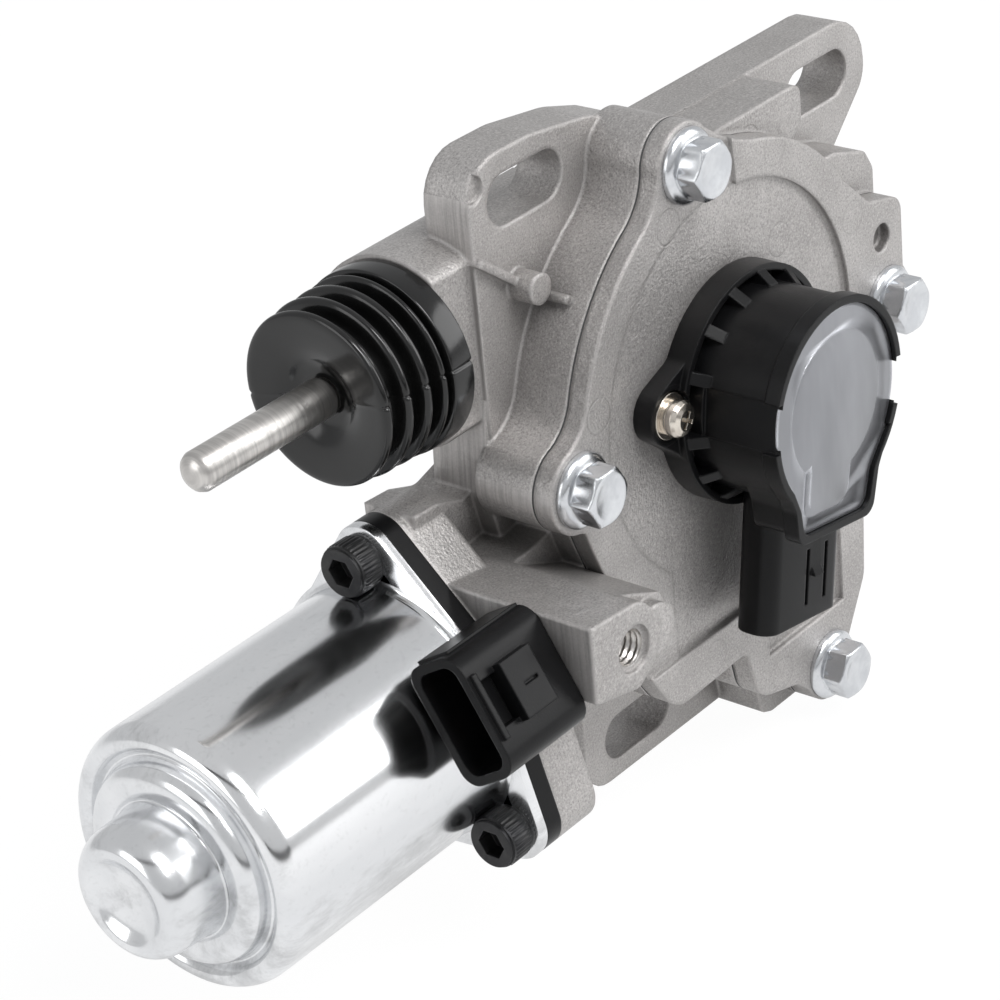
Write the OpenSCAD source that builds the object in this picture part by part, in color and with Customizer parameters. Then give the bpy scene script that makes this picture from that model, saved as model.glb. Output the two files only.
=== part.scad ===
// Motor driven clutch cylinder: geared release actuator for a clutch.
// All sizes in millimetres.
// Modelling frame: wheel axis is Y through x = 0, z = 0, cover face at y = 0.
// place() moves every node so that the origin lies on the mounting face,
// straight above the wheel axis.

/* [Housing] */
// radius of the round flange of cover and housing
flange_r = 47.2; // [44:0.2:50]
// thickness of the cover at its rim
cover_t = 4.8; // [3:0.2:7]
// thickness of the gasket under the cover
gasket_t = 0.4; // [0.2:0.1:1]
// front face of the bracket plate
plate_front_y = 17; // [14:0.5:20]
// mounting face of the bracket plate
mount_y = 27; // [25:0.5:29]
// rear face of the gear chamber
rear_y = 41; // [40:0.5:44]
// radius of the gear chamber
chamber_r = 36; // [35:0.5:37]
// wall behind and around the gear chamber
wall_t = 3.5; // [3:0.5:5]

/* [Mounting slots] */
// width of each slot
slot_w = 9.7; // [9:0.1:11]
// end to end length of each slot
slot_len = 21; // [18:0.5:24]

/* [Cover bolts] */
// thread diameter of the cover bolts
bolt_d = 6; // [5:1:8]
// width across flats of the bolt head
bolt_af = 10; // [8:1:13]
// diameter of the flange under the bolt head
bolt_flange_d = 14.2; // [11:0.1:18]
// height of the bolt head with its flange
bolt_head_h = 6.6; // [5:0.1:9]

/* [Stay boss] */
// thread core radius of the side hole
stay_hole_r = 3.4; // [3:0.1:4]
// depth of the side hole
stay_hole_depth = 16; // [12:1:20]

/* [Worm gear] */
// module of the sector gear
gear_module = 1.25; // [1:0.05:1.5]
// teeth that the full wheel would have
wheel_teeth = 51; // [49:1:53]
// pitch radius of the worm
worm_pitch_r = 6.4; // [6:0.1:6.8]
// face width of the sector gear
gear_w = 11; // [9:0.5:13]
// middle plane of worm and sector gear
gear_y = 24; // [23:0.5:25]
// play between worm thread and gear teeth
mesh_play = 0.22; // [0.15:0.01:0.3]

/* [Crank and push rod] */
// distance from wheel axis to push rod axis
crank_r = 25.3; // [24:0.1:26]
// plane of the push rod
rod_y = 28; // [27:0.5:29]
// radius of the push rod
rod_r = 3.7; // [3:0.1:4.5]
// end of the push rod
rod_tip_x = -111.5; // [-116:0.5:-108]
// radius of the roller on the crank pin
roller_r = 4; // [3.5:0.1:4.5]
// play of the roller in the yoke, each side
yoke_play = 0.3; // [0.2:0.05:0.5]

/* [Motor] */
// outer radius of the motor can
can_r = 25.2; // [24:0.1:26]
// wall of the motor can
can_t = 1.6; // [1.2:0.1:2]
// front face of the can flange
can_flange_x = -76.5; // [-79:0.5:-75]
// thickness of the can flange
can_flange_t = 2; // [1.5:0.1:3]
// thickness of the brush card plate
card_t = 4; // [3:0.1:5]
// radius of the motor shaft
shaft_r = 4; // [3.5:0.1:4.5]
// running clearance of each plain bearing
run_gap = 0.04; // [0.02:0.01:0.08]

/* [Sensor] */
// radius of the sensor flange
sensor_flange_r = 22.8; // [21:0.1:24]
// radius of the sensor body
sensor_body_r = 19.6; // [18:0.1:21]
// front rim of the sensor
sensor_front_y = -22.6; // [-24:0.1:-20]
// turn of the sensor about the wheel axis
sensor_turn = 9.5; // [5:0.5:14]

/* [Hidden] */
$fn = 72;
eps = 0.01;
fit = 0.05;
cover_gap = 0.6;
house_y = cover_t + gasket_t;
origin = [0, mount_y, 42];
wheel_pitch_r = gear_module * wheel_teeth / 2;
worm_z = -(wheel_pitch_r + worm_pitch_r);
lead = 3.14159265 * gear_module;
lead_angle = atan(lead / (2 * 3.14159265 * worm_pitch_r));
flat = 20;
tooth_half = (lead / 2 - mesh_play) / 2;
add_h = 1.1;
ded_h = 1.5;
card_x = can_flange_x + can_flange_t;
motor_face_x = card_x + card_t;
motor_tilt = -31.1;
screw_n = 12.7;
screw_t = 27.4;
third_n = -30.2;
worm_bore_r = 9.25;
bolt_pts = [[-11.5, 47.3], [-48.2, -0.5], [25.1, -74.4], [50.8, -4.8]];
boss_r = [8.2, 7.6, 7.6, 7.8];
dowel_pts = [[-30.5, 30.5], [34.5, -50]];
slot_pts = [[-35.5, 48.8], [54.5, 36.3], [-16.5, -71]];
stay_pt = [-59, -22.2];
stay_y = -18;
sensor_screw_x = 25.2;

module place() {
    translate(-origin) children();
}

// extrude a profile drawn in x, z from y0 to y1
module along_y(y0, y1) {
    translate([0, y1, 0]) rotate([90, 0, 0]) linear_extrude(height = y1 - y0) children();
}

// extrude a profile drawn in y, z from x0 to x1
module along_x(x0, x1) {
    translate([x0, 0, 0]) rotate([90, 0, 90]) linear_extrude(height = x1 - x0) children();
}

module rod_x(x0, x1, r, y, z) {
    translate([x0, y, z]) rotate([0, 90, 0]) cylinder(h = x1 - x0, r = r);
}

module rod_yy(y0, y1, r, x, z) {
    translate([x, y1, z]) rotate([90, 0, 0]) cylinder(h = y1 - y0, r = r);
}

// profile in radius and x, turned about an axis along X
module turned_x(y, z) {
    translate([0, y, z]) rotate([0, 90, 0]) rotate_extrude() children();
}

// profile in radius and y, turned about an axis along Y, y counted along the axis
module turned_y() {
    rotate([-90, 0, 0]) rotate_extrude() children();
}

// motor frame: n points to the near side of the can, t along the row of screws
module motor_frame() {
    translate([0, gear_y, worm_z]) rotate([motor_tilt, 0, 0]) children();
}

module sensor_frame() {
    rotate([0, sensor_turn, 0]) children();
}

module lower_lobe() {
    polygon([[-44, -10], [-42, -22], [-39, -36], [-32.6, -47], [-28.4, -52.4], [-24.6, -56.2],
        [-20, -58.2], [-6.4, -57.8], [-3, -58.4], [-1.2, -61], [0.2, -66], [2.4, -69.4],
        [6.6, -71.8], [12, -73.4], [17.6, -76.6], [20, -80], [31.8, -78], [32.6, -73],
        [31.6, -70.8], [35.8, -65.2], [38.8, -59.6], [39.3, -47.7], [39.3, -20]]);
}

module tab_profile() {
    polygon([[40, 24.5], [44.6, 18.6], [47.6, 17.3], [52.4, 15.8], [55, 14.2], [56.5, 11.4],
        [56.7, -4.8], [50, -13], [40, -24]]);
}

// outline shared by cover, gasket and housing, from y0 to y1
module flange_solid(y0, y1) {
    rod_yy(y0, y1, flange_r, 0, 0);
    for (i = [0 : 3]) rod_yy(y0, y1, boss_r[i], bolt_pts[i][0], bolt_pts[i][1]);
    along_y(y0, y1) lower_lobe();
    along_y(y0, y1) tab_profile();
}

module plate_outline() {
    circle(r = flange_r);
    polygon([[-51, 3], [-51, 49.5], [-49.6, 53.6], [-46.4, 56.6], [-41, 57.9], [-28, 58],
        [-20, 56.6], [-14, 54.4], [-6, 50], [1.4, 46.5], [30, 46.2], [60.3, 46.5],
        [68.9, 30], [59.9, 22.4], [52, 8], [40, -24], [0, -30], [-40, -22]]);
    translate([60.3, 35.8]) circle(r = 10.7);
    polygon([[-45, -18], [-31.5, -46], [-33.6, -66], [-33, -74], [-31, -78.4], [-27, -81],
        [12, -81.6], [27, -84.5], [31.5, -82], [33.2, -74], [38.8, -60], [39.3, -20]]);
}

module corner_boss() {
    polygon([[8, -60], [11.5, -82], [14.5, -84.6], [27, -85.4], [31.5, -82], [33.4, -70],
        [30, -60]]);
    polygon([[38, 28], [44, 27.6], [52.4, 24.2], [55.4, 21.4], [56.6, 18.4], [56.7, 8],
        [44, 6]]);
}

module slot_cut(p) {
    c = slot_len / 2 - slot_w / 2;
    rod_yy(plate_front_y - 6, mount_y + 1, slot_w / 2, p[0] - c, p[1]);
    rod_yy(plate_front_y - 6, mount_y + 1, slot_w / 2, p[0] + c, p[1]);
    translate([p[0] - c, plate_front_y - 6, p[1] - slot_w / 2])
        cube([2 * c, mount_y - plate_front_y + 7, slot_w]);
}

module slot_pad(p) {
    c = slot_len / 2 - slot_w / 2;
    translate([p[0] - c, p[1]]) circle(r = slot_w / 2 + 5.6);
    translate([p[0] + c, p[1]]) circle(r = slot_w / 2 + 5.6);
    translate([p[0] - c, p[1] - slot_w / 2 - 5.6]) square([2 * c, slot_w + 11.2]);
}

// motor flange outline in the motor frame, drawn in y, z
module motor_flange_profile(grow) {
    hull() {
        circle(r = can_r + 0.4 + grow);
        for (s = [-1, 1]) translate([-screw_n, s * screw_t]) circle(r = 6.4 + grow);
        translate([-third_n, 0]) circle(r = 6.4 + grow);
    }
}

module motor_screw_holes(x0, x1, r) {
    for (s = [-1, 1]) rod_x(x0, x1, r, -screw_n, s * screw_t);
    rod_x(x0, x1, r, -third_n, 0);
}

module stay_block() {
    polygon([[-69, -12.8], [-58.6, -13.8], [-54, -15.6], [-44, -20], [-38, -24], [-38, -46],
        [-50.6, -46], [-69, -46]]);
}

module stay_face() {
    translate(stay_pt) circle(r = 8.4);
    polygon([[-69, -12.8], [-60, -13.8], [-52, -27], [-59, -30.6], [-69, -27.4]]);
}

// block with the side hole, cut back where the cover lies in front of the housing
module side_block() {
    difference() {
        union() {
            along_y(stay_y, 16) stay_face();
            along_y(stay_y + 3, 16) translate([-48.4, -24.6]) circle(r = 5);
            along_y(stay_y + 6, 16) stay_block();
        }
        rod_yy(stay_y - 1, house_y, flange_r + cover_gap, 0, 0);
        along_y(stay_y - 1, house_y) translate([-cover_gap, 0]) lower_lobe();
    }
}

module gear_housing() {
    color("Silver") place() difference() {
        union() {
            flange_solid(house_y, plate_front_y);
            along_y(house_y, plate_front_y) corner_boss();
            along_y(plate_front_y, mount_y) {
                plate_outline();
                corner_boss();
            }
            along_y(mount_y, rear_y) circle(r = chamber_r + wall_t);
            // rod boss, square in section, and the spigot that carries the boot
            translate([-61, rod_y - 13.3, crank_r - 13.2]) cube([50, rear_y - rod_y + 13.3, 26.4]);
            rod_x(-67, -60, 12.2, rod_y, crank_r);
            rod_x(-66.6, -64.6, 12.9, rod_y, crank_r);
            // worm chamber and motor flange
            rod_x(-63, 36, 12.6, gear_y, worm_z);
            rod_x(-64, -40, 17, gear_y, worm_z);
            motor_frame() along_x(motor_face_x, motor_face_x + 10) motor_flange_profile(0);
            side_block();
            // pin boss and rib on the bracket face
            rod_yy(13.8, plate_front_y + 1, 3, -37.4, 30.8);
            translate([-37.4, 16, 30.8]) rotate([0, 37, 0]) translate([-14.5, 0, -0.6])
                cube([26, 2, 1.2]);
        }
        // gear chamber and yoke pocket, with the rear hub left standing
        difference() {
            union() {
                rod_yy(house_y - 1, rear_y - wall_t, chamber_r, 0, 0);
                translate([-22, 22.4, 15]) cube([38, 12, 19]);
            }
            rod_yy(33, rear_y, 12, 0, 0);
        }
        along_y(house_y - 1, 14) worm_pocket();
        // worm and rod bores
        rod_x(motor_face_x - 1, 31, worm_bore_r, gear_y, worm_z);
        rod_x(-68, -20, rod_r + 2.5, rod_y, crank_r);
        rod_x(-68, -57, 8, rod_y, crank_r);
        rod_x(-36, -18, 9.2, rod_y, crank_r);
        rod_yy(30, rear_y - 1.2, 8, 0, 0);
        for (p = slot_pts) slot_cut(p);
        for (p = bolt_pts) rod_yy(house_y - 1, 20, bolt_d / 2 + fit, p[0], p[1]);
        for (p = dowel_pts) rod_yy(house_y - 1, 11, 2.5 + fit, p[0], p[1]);
        rod_yy(stay_y - 1, stay_y + stay_hole_depth, stay_hole_r, stay_pt[0], stay_pt[1]);
        rod_yy(stay_y - 1, stay_y + 1, 4.5, stay_pt[0], stay_pt[1]);
        motor_frame() motor_screw_holes(motor_face_x - 1, motor_face_x + 12, 3 + fit);
        rod_yy(15.6, 18, 2.6, -49.2, 53.4);
    }

}

module worm_pocket() {
    translate([-20, -46]) square([48.5, 46]);
}

module cover_recess() {
    circle(r = 38);
    translate([-22.5, -48.5]) square([53.5, 48]);
    translate([5, -62.5]) square([26, 20]);
}

module gear_cover() {
    color("Silver") place() difference() {
        union() {
            flange_solid(0, cover_t);
            rod_yy(cover_t - 1, 14.8, 12, 0, 0);
            sensor_frame() for (s = [-1, 1])
                rod_yy(cover_t - 1, 10, 4.4, s * sensor_screw_x, 0);
        }
        along_y(-1, 1.2) cover_recess();
        rod_yy(5.5, 15, 8, 0, 0);
        rod_yy(1, 6, 10, 0, 0);
        rod_yy(-1, 1.3, 11.4, 0, 0);
        for (p = bolt_pts) rod_yy(-1, 6, bolt_d / 2 + 0.3, p[0], p[1]);
        for (p = dowel_pts) rod_yy(1.8, 6, 2.5 + fit, p[0], p[1]);
        sensor_frame() for (s = [-1, 1]) rod_yy(0, 9, 2 + fit, s * sensor_screw_x, 0);
        rod_yy(-1, 1.4, 2.9, 49.6, 9);
    }
}

module cover_gasket() {
    color("DimGray") place() difference() {
        flange_solid(cover_t, house_y);
        rod_yy(0, 10, chamber_r, 0, 0);
        along_y(0, 10) worm_pocket();
        for (p = bolt_pts) rod_yy(0, 10, bolt_d / 2 + 0.3, p[0], p[1]);
        for (p = dowel_pts) rod_yy(0, 10, 2.5 + 2 * fit, p[0], p[1]);
    }
}

module cover_bolts() {
    color("Gainsboro") place() for (p = bolt_pts) translate([p[0], 0, p[1]]) {
        rod_yy(-0.01, 17.5, bolt_d / 2, 0, 0);
        turned_y() polygon([[0, -1.9], [5.4, -1.9], [bolt_flange_d / 2 - 0.3, -1.2],
            [bolt_flange_d / 2, -0.9], [bolt_flange_d / 2, 0], [0, 0]]);
        rotate([90, 0, 0]) translate([0, 0, 1]) intersection() {
            cylinder(h = bolt_head_h - 1, r = bolt_af / 2 / cos(30), $fn = 6);
            cylinder(h = bolt_head_h - 1, r1 = bolt_af / 2 + 5, r2 = bolt_af / 2 - 0.2);
        }
    }
}

module locating_dowels() {
    color("LightGray") place() for (p = dowel_pts) rod_yy(2, 10.8, 2.5, p[0], p[1]);
}

module can_outside() {
    turned_x(0, 0) polygon([[0, can_flange_x], [can_r, can_flange_x], [can_r, -126.4],
        [24.6, -128.6], [23.2, -130], [20.6, -130.6], [19, -130.8], [18.2, -132.6],
        [16.6, -133.4], [14, -133.8], [12.8, -134.6], [12.4, -137], [11.6, -138.4],
        [11, -143.4], [10, -145.2], [8, -146.2], [5.2, -146.6], [4.4, -147.4],
        [2.4, -148.2], [0, -148.4]]);
}

module motor_can() {
    color("Gainsboro") place() motor_frame() difference() {
        union() {
            along_x(can_flange_x, card_x) motor_flange_profile(0);
            can_outside();
        }
        rod_x(-129, card_x + 1, can_r - can_t, 0, 0);
        rod_x(-132.4, -120, 16.8, 0, 0);
        rod_x(-144.8, -120, 9.2, 0, 0);
        motor_screw_holes(-90, card_x + 1, 3.2);
    }
}

module brush_card() {
    color("DarkSlateGray") place() motor_frame() difference() {
        union() {
            along_x(card_x, motor_face_x) {
                motor_flange_profile(0);
                translate([-37.5, -13]) square([16, 21]);
            }
            // connector shell on the near side
            along_x(-91.5, motor_face_x + 1.4) translate([-39.3, -14.3]) connector_shell();
            // brush boxes
            translate([-84, 9.6, -4.6]) cube([9.5, 7.4, 9.2]);
            translate([-84, -17, -4.6]) cube([9.5, 7.4, 9.2]);
        }
        along_x(-92, -76.5) translate([-37.6, -12.6]) connector_mouth();
        rod_x(-90, motor_face_x + 1, 5.6, 0, 0);
        motor_screw_holes(-90, motor_face_x + 1, 3.2);
        for (s = [-1, 1]) translate([-83, s * 13.2 - 4.6, -3.05]) cube([5.1, 9.2, 6.1]);
        for (z = [-7, 2]) translate([-77, -32.9, z - 0.05]) cube([3.6, 0.9, 3.1]);
    }
}

module connector_shell() {
    translate([3.5, 0]) square([13.2 - 3.5, 23.3]);
    translate([0, 3.5]) square([13.2, 23.3 - 7]);
    translate([3.5, 3.5]) circle(r = 3.5);
    translate([3.5, 19.8]) circle(r = 3.5);
}

module connector_mouth() {
    translate([2, 0]) square([9.6 - 4, 19.9]);
    translate([0, 2]) square([9.6, 15.9]);
    for (y = [2, 7.6]) for (z = [2, 17.9]) translate([y, z]) circle(r = 2);
}

module motor_screws() {
    color("DarkSlateGray") place() motor_frame() {
        for (p = [[-screw_n, screw_t], [-screw_n, -screw_t], [-third_n, 0]])
            translate([0, p[0], p[1]]) difference() {
                union() {
                    rod_x(can_flange_x - 6, can_flange_x - 5.4, 4.6, 0, 0);
                    rod_x(can_flange_x - 5.4, can_flange_x, 4.9, 0, 0);
                    rod_x(can_flange_x - 1, motor_face_x + 10, 3, 0, 0);
                }
                translate([can_flange_x - 7, 0, 0]) rotate([0, 90, 0])
                    cylinder(h = 4.2, r = 2.5 / cos(30), $fn = 6);
            }
    }
}

module field_magnets() {
    color("DimGray") place() motor_frame() difference() {
        rod_x(-124, -89, can_r - can_t - 0.1, 0, 0);
        rod_x(-125, -88, 17.2, 0, 0);
        translate([-125, -6, -30]) cube([37, 12, 60]);
    }
}

module carbon_brushes() {
    color("Black") place() motor_frame() {
        translate([-82.9, 9.3, -3]) cube([4.9, 5, 6]);
        translate([-82.9, -14.3, -3]) cube([4.9, 5, 6]);
    }
}

module brush_springs() {
    color("Silver") place() motor_frame() for (s = [-1, 1])
        translate([-80.5, s * 14.35, 0]) rotate([-s * 90, 0, 0]) difference() {
            cylinder(h = 3.3, r = 2.2);
            translate([0, 0, -1]) cylinder(h = 6, r = 1.6);
        }
}

module power_terminals() {
    color("Gold") place() motor_frame() for (z = [-7, 2])
        translate([-85.5, -32.85, z]) cube([11.9, 0.8, 3]);
}

module plain_bush_x(x0, x1, ro, ri, y, z) {
    difference() {
        rod_x(x0, x1, ro, y, z);
        rod_x(x0 - 1, x1 + 1, ri, y, z);
    }
}

module can_bearing() {
    color("Goldenrod") place()
        plain_bush_x(-144, -136.5, 9.2 - fit, shaft_r + run_gap, gear_y, worm_z);
}

module front_bearing() {
    color("Goldenrod") place() plain_bush_x(motor_face_x + 3, motor_face_x + 11,
        worm_bore_r - fit, shaft_r + run_gap, gear_y, worm_z);
}

module worm_end_bearing() {
    color("Goldenrod") place()
        plain_bush_x(19, 27, worm_bore_r - fit, shaft_r + run_gap, gear_y, worm_z);
}

module thrust_pad() {
    color("Silver") place() rod_x(27, 31, worm_bore_r - fit, gear_y, worm_z);
}

module wheel_front_bush() {
    color("Goldenrod") place() difference() {
        rod_yy(5.6, 14.6, 8 - fit, 0, 0);
        rod_yy(5, 16, 5 + run_gap, 0, 0);
    }
}

module wheel_rear_bush() {
    color("Goldenrod") place() difference() {
        rod_yy(32.6, rear_y - 1.4, 8 - fit, 0, 0);
        rod_yy(30, rear_y, 5 + run_gap, 0, 0);
    }
}

module shaft_seal() {
    color("DimGray") place() difference() {
        rod_yy(1.6, 5.3, 10 - fit, 0, 0);
        rod_yy(1, 6, 3 + run_gap, 0, 0);
    }
}

module rod_guide_bush() {
    color("Goldenrod") place()
        plain_bush_x(-56.8, -38, rod_r + 2.5 - fit, rod_r + run_gap, rod_y, crank_r);
}

module rod_seal() {
    color("DimGray") place()
        plain_bush_x(-66.6, -57.2, 8 - fit, rod_r + run_gap, rod_y, crank_r);
}

// boot profile: outer folds, then back along the inside with an even wall
module boot_profile() {
    polygon([[13, -61.05], [17, -61.05], [17.6, -61.7], [17.6, -64.8], [16.6, -65.6], [14.6, -66.4],
        [14.6, -67.4], [17, -68.2], [17.6, -69], [17.4, -69.9], [14.4, -71], [14.4, -72],
        [16.9, -72.8], [17.3, -73.6], [17.1, -74.4], [14.2, -75.4], [14.2, -76.4],
        [16.4, -77.2], [16.8, -78], [16.5, -78.8], [15.2, -79.4], [15, -80.2],
        [15.8, -81], [15.4, -81.6], [13, -81.4], [7.4, -80.6], [6.2, -81.4], [5.8, -83.7],
        [rod_r - 0.6 + run_gap, -83.7], [rod_r - 0.6 + run_gap, -80.2],
        [rod_r + 0.3, -80.2], [rod_r + 0.6, -79.4], [12.6, -79.4], [12.9, -77.6],
        [14.6, -76.6], [12.7, -75.2], [12.7, -73.8], [14.9, -72.7], [12.9, -71.2],
        [12.9, -69.9], [15.2, -68.4], [13, -67.2]]);
}

module rubber_boot() {
    color("DimGray") place() turned_x(rod_y, crank_r) boot_profile();
}

module keyhole(s) {
    circle(r = 20.5 - s);
    polygon([[-16, -10], [-12.3 + s, -15], [-11 + s, -22], [-8.6 + s, -24.5 + s],
        [10.8 - s, -24.5 + s], [13.9 - s, -21], [14.6 - s, -15.6], [18, -8]]);
}

module stadium(hx, hy) {
    translate([hy - hx, 0]) circle(r = hy);
    translate([hx - hy, 0]) circle(r = hy);
    translate([hy - hx, -hy]) square([2 * hx - 2 * hy, 2 * hy]);
}

module sensor_body() {
    color("DarkSlateGray") place() sensor_frame() difference() {
        union() {
            rod_yy(-2.2, 1.2, sensor_flange_r, 0, 0);
            for (s = [-1, 1]) rod_yy(-2.2, 1.2, 6, s * sensor_screw_x, 0);
            rod_yy(-12, -2, sensor_body_r, 0, 0);
            along_y(sensor_front_y, -10) keyhole(0);
            translate([0.7, -6.8, -47]) linear_extrude(height = 32) stadium(16.2, 5.8);
        }
        rod_yy(-11, 2, 11.2, 0, 0);
        along_y(sensor_front_y - 1, sensor_front_y + 1.2) keyhole(1.5);
        rod_yy(-21.8, -12.6, 17.4, 0, 0);
        for (s = [-1, 1]) rod_yy(-3, 2, 2.3, s * sensor_screw_x, 0);
        translate([0.7, -6.8, -48]) linear_extrude(height = 16) stadium(14.6, 4.2);
        for (x = [-5, 0.7, 6.4]) translate([x - 0.45, -7.25, -33]) cube([0.9, 0.9, 8]);
        rod_yy(0.2, 2, 12.8, 0, 0);
    }
}

module sensor_lid() {
    color("LightGray") place() sensor_frame()
        along_y(sensor_front_y + 0.5, sensor_front_y + 1.1) keyhole(1.6);
}

module sensor_board() {
    color("DarkGreen") place() sensor_frame() rod_yy(-14.4, -12.8, 17.2, 0, 0);
}

module sensor_terminals() {
    color("Gold") place() sensor_frame() for (x = [-5, 0.7, 6.4])
        translate([x - 0.4, -7.2, -41]) cube([0.8, 0.8, 15.6]);
}

module sensor_o_ring() {
    color("DimGray") place() translate([0, 0.7, 0]) rotate([90, 0, 0])
        rotate_extrude() translate([12, 0]) circle(r = 0.48, $fn = 24);
}

module sensor_screws() {
    color("LightGray") place() sensor_frame() for (s = [-1, 1])
        translate([s * sensor_screw_x, 0, 0]) difference() {
            union() {
                rod_yy(-4.2, 8.8, 2, 0, 0);
                turned_y() polygon([[0, -6.8], [2, -6.7], [3, -6.2], [3.5, -5.4],
                    [3.5, -4.2], [0, -4.2]]);
            }
            for (a = [0, 90]) rotate([0, a + 20, 0]) translate([-1.7, -7.2, -0.35])
                cube([3.4, 2, 0.7]);
        }
}

module washer_pair(y0, y1, ro) {
    sensor_frame() for (s = [-1, 1]) difference() {
        rod_yy(y0, y1, ro, s * sensor_screw_x, 0);
        rod_yy(y0 - 1, y1 + 1, 2 + 2 * fit, s * sensor_screw_x, 0);
    }
}

module sensor_spring_washers() {
    color("LightGray") place() washer_pair(-4.2, -3.1, 3.4);
}

module sensor_flat_washers() {
    color("LightGray") place() washer_pair(-3.1, -2.2, 4.4);
}

module wheel_shaft() {
    color("Silver") place() union() {
        rod_yy(-9.5, 6, 3, 0, 0);
        rod_yy(5.9, 15, 5, 0, 0);
        rod_yy(14.9, 32.4, 7, 0, 0);
        rod_yy(32, rear_y - 1.8, 5, 0, 0);
    }
}

// one tooth of the sector gear about the local minus y direction
module gear_tooth(a) {
    root = wheel_pitch_r - ded_h;
    rotate(a) polygon([[-1.9, -root + 3], [-1.9, -root],
        [-tooth_half - ded_h * tan(flat), -root],
        [-tooth_half + add_h * tan(flat), -wheel_pitch_r - add_h],
        [tooth_half - add_h * tan(flat), -wheel_pitch_r - add_h],
        [tooth_half + ded_h * tan(flat), -root],
        [1.9, -root], [1.9, -root + 3]]);
}

module sector_gear() {
    turn = -gear_w * tan(lead_angle) / wheel_pitch_r * 180 / 3.14159265;
    color("BurlyWood") place() difference() {
        union() {
            translate([0, gear_y + gear_w / 2, 0]) rotate([90, -turn / 2, 0])
                linear_extrude(height = gear_w, twist = turn, slices = 6)
                    for (i = [-8 : 8]) gear_tooth((i + 0.5) * 360 / wheel_teeth);
            along_y(gear_y - gear_w / 2 + 0.5, gear_y + gear_w / 2 - 0.5) difference() {
                intersection() {
                    circle(r = wheel_pitch_r - ded_h - 0.05);
                    polygon([[0, 14], [-60, -32], [-60, -60], [60, -60], [60, -32]]);
                }
            }
            rod_yy(gear_y - gear_w / 2, gear_y + gear_w / 2, 11, 0, 0);
        }
        rod_yy(0, 50, 7 + fit, 0, 0);
        for (a = [-38, 0, 38]) rotate([0, a, 0]) rod_yy(0, 50, 5, 0, -20);
    }
}

module crank_arm() {
    color("Silver") place() difference() {
        along_y(14.9, 18.2) hull() {
            circle(r = 11);
            translate([0, crank_r]) circle(r = 6.4);
        }
        rod_yy(10, 20, 7 + fit, 0, 0);
        rod_yy(10, 20, 3 + fit, 0, crank_r);
    }
}

module crank_pin() {
    color("LightGray") place() union() {
        rod_yy(15, 18.4, 3, 0, crank_r);
        rod_yy(18.2, 23.8, 4, 0, crank_r);
        rod_yy(23.6, 32.6, 2.8, 0, crank_r);
    }
}

module crank_roller() {
    color("Silver") place() difference() {
        rod_yy(24, 32, roller_r, 0, crank_r);
        rod_yy(20, 40, 2.8 + fit, 0, crank_r);
    }
}

module sensor_rotor() {
    color("DimGray") place() difference() {
        rod_yy(-9.5, -3, 8.5, 0, 0);
        rod_yy(-10, 0, 3 + fit, 0, 0);
        rod_yy(-10, -7, 7.2, 0, 0);
    }
}

module rotor_magnet() {
    color("Gray") place() difference() {
        rod_yy(-9.5, -7.05, 7.15, 0, 0);
        rod_yy(-10, 0, 3 + fit, 0, 0);
    }
}

module motor_shaft() {
    color("LightGray") place() rod_x(-143.6, 26.8, shaft_r, gear_y, worm_z);
}

module armature_core() {
    color("DimGray") place() motor_frame() difference() {
        rod_x(-122, -91, 16.4, 0, 0);
        rod_x(-130, -80, shaft_r + fit, 0, 0);
        for (i = [0 : 9]) rotate([36 * i, 0, 0]) {
            translate([-123, -1, 13.5]) cube([33, 2, 4]);
            rod_x(-123, -90, 2.6, 0, 11.4);
        }
    }
}

module armature_windings() {
    color("Chocolate") place() motor_frame() difference() {
        union() {
            rod_x(-127.5, -122, 14.6, 0, 0);
            rod_x(-91, -85.6, 14.6, 0, 0);
            for (i = [0 : 9]) rotate([36 * i, 0, 0]) rod_x(-122.5, -90.5, 2.4, 0, 11.4);
        }
        rod_x(-130, -80, shaft_r + 1.4, 0, 0);
    }
}

module commutator() {
    color("Peru") place() motor_frame() difference() {
        rod_x(-84.6, -77.4, 9, 0, 0);
        rod_x(-90, -70, shaft_r + fit, 0, 0);
        for (i = [0 : 9]) rotate([36 * i, 0, 0]) translate([-85, -0.3, 8.2]) cube([9, 0.6, 2]);
    }
}

function thread_r(a) = let (u = abs(a) / 360 * lead)
    u < tooth_half - add_h * tan(flat) ? worm_pitch_r + add_h :
    u > tooth_half + ded_h * tan(flat) ? worm_pitch_r - ded_h :
    worm_pitch_r + (tooth_half - u) / tan(flat);

module worm() {
    crest = (tooth_half - add_h * tan(flat)) / lead * 360;
    root = (tooth_half + ded_h * tan(flat)) / lead * 360;
    angles = [-180, -root - (180 - root) / 2, -root, -(root + crest) / 2, -crest, -crest / 2, 0,
        crest / 2, crest, (root + crest) / 2, root, root + (180 - root) / 2];
    color("LightGray") place() difference() {
        union() {
            translate([-3 * lead, gear_y, worm_z]) rotate([0, 90, 0])
                linear_extrude(height = 6 * lead, twist = -2160, slices = 96, $fn = 20)
                    polygon([for (a = angles) thread_r(a) * [cos(a + 180), sin(a + 180)]]);
            rod_x(-3 * lead - 3, 3 * lead + 3, worm_pitch_r - ded_h, gear_y, worm_z);
        }
        rod_x(-30, 30, shaft_r + fit, gear_y, worm_z);
    }
}

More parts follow.
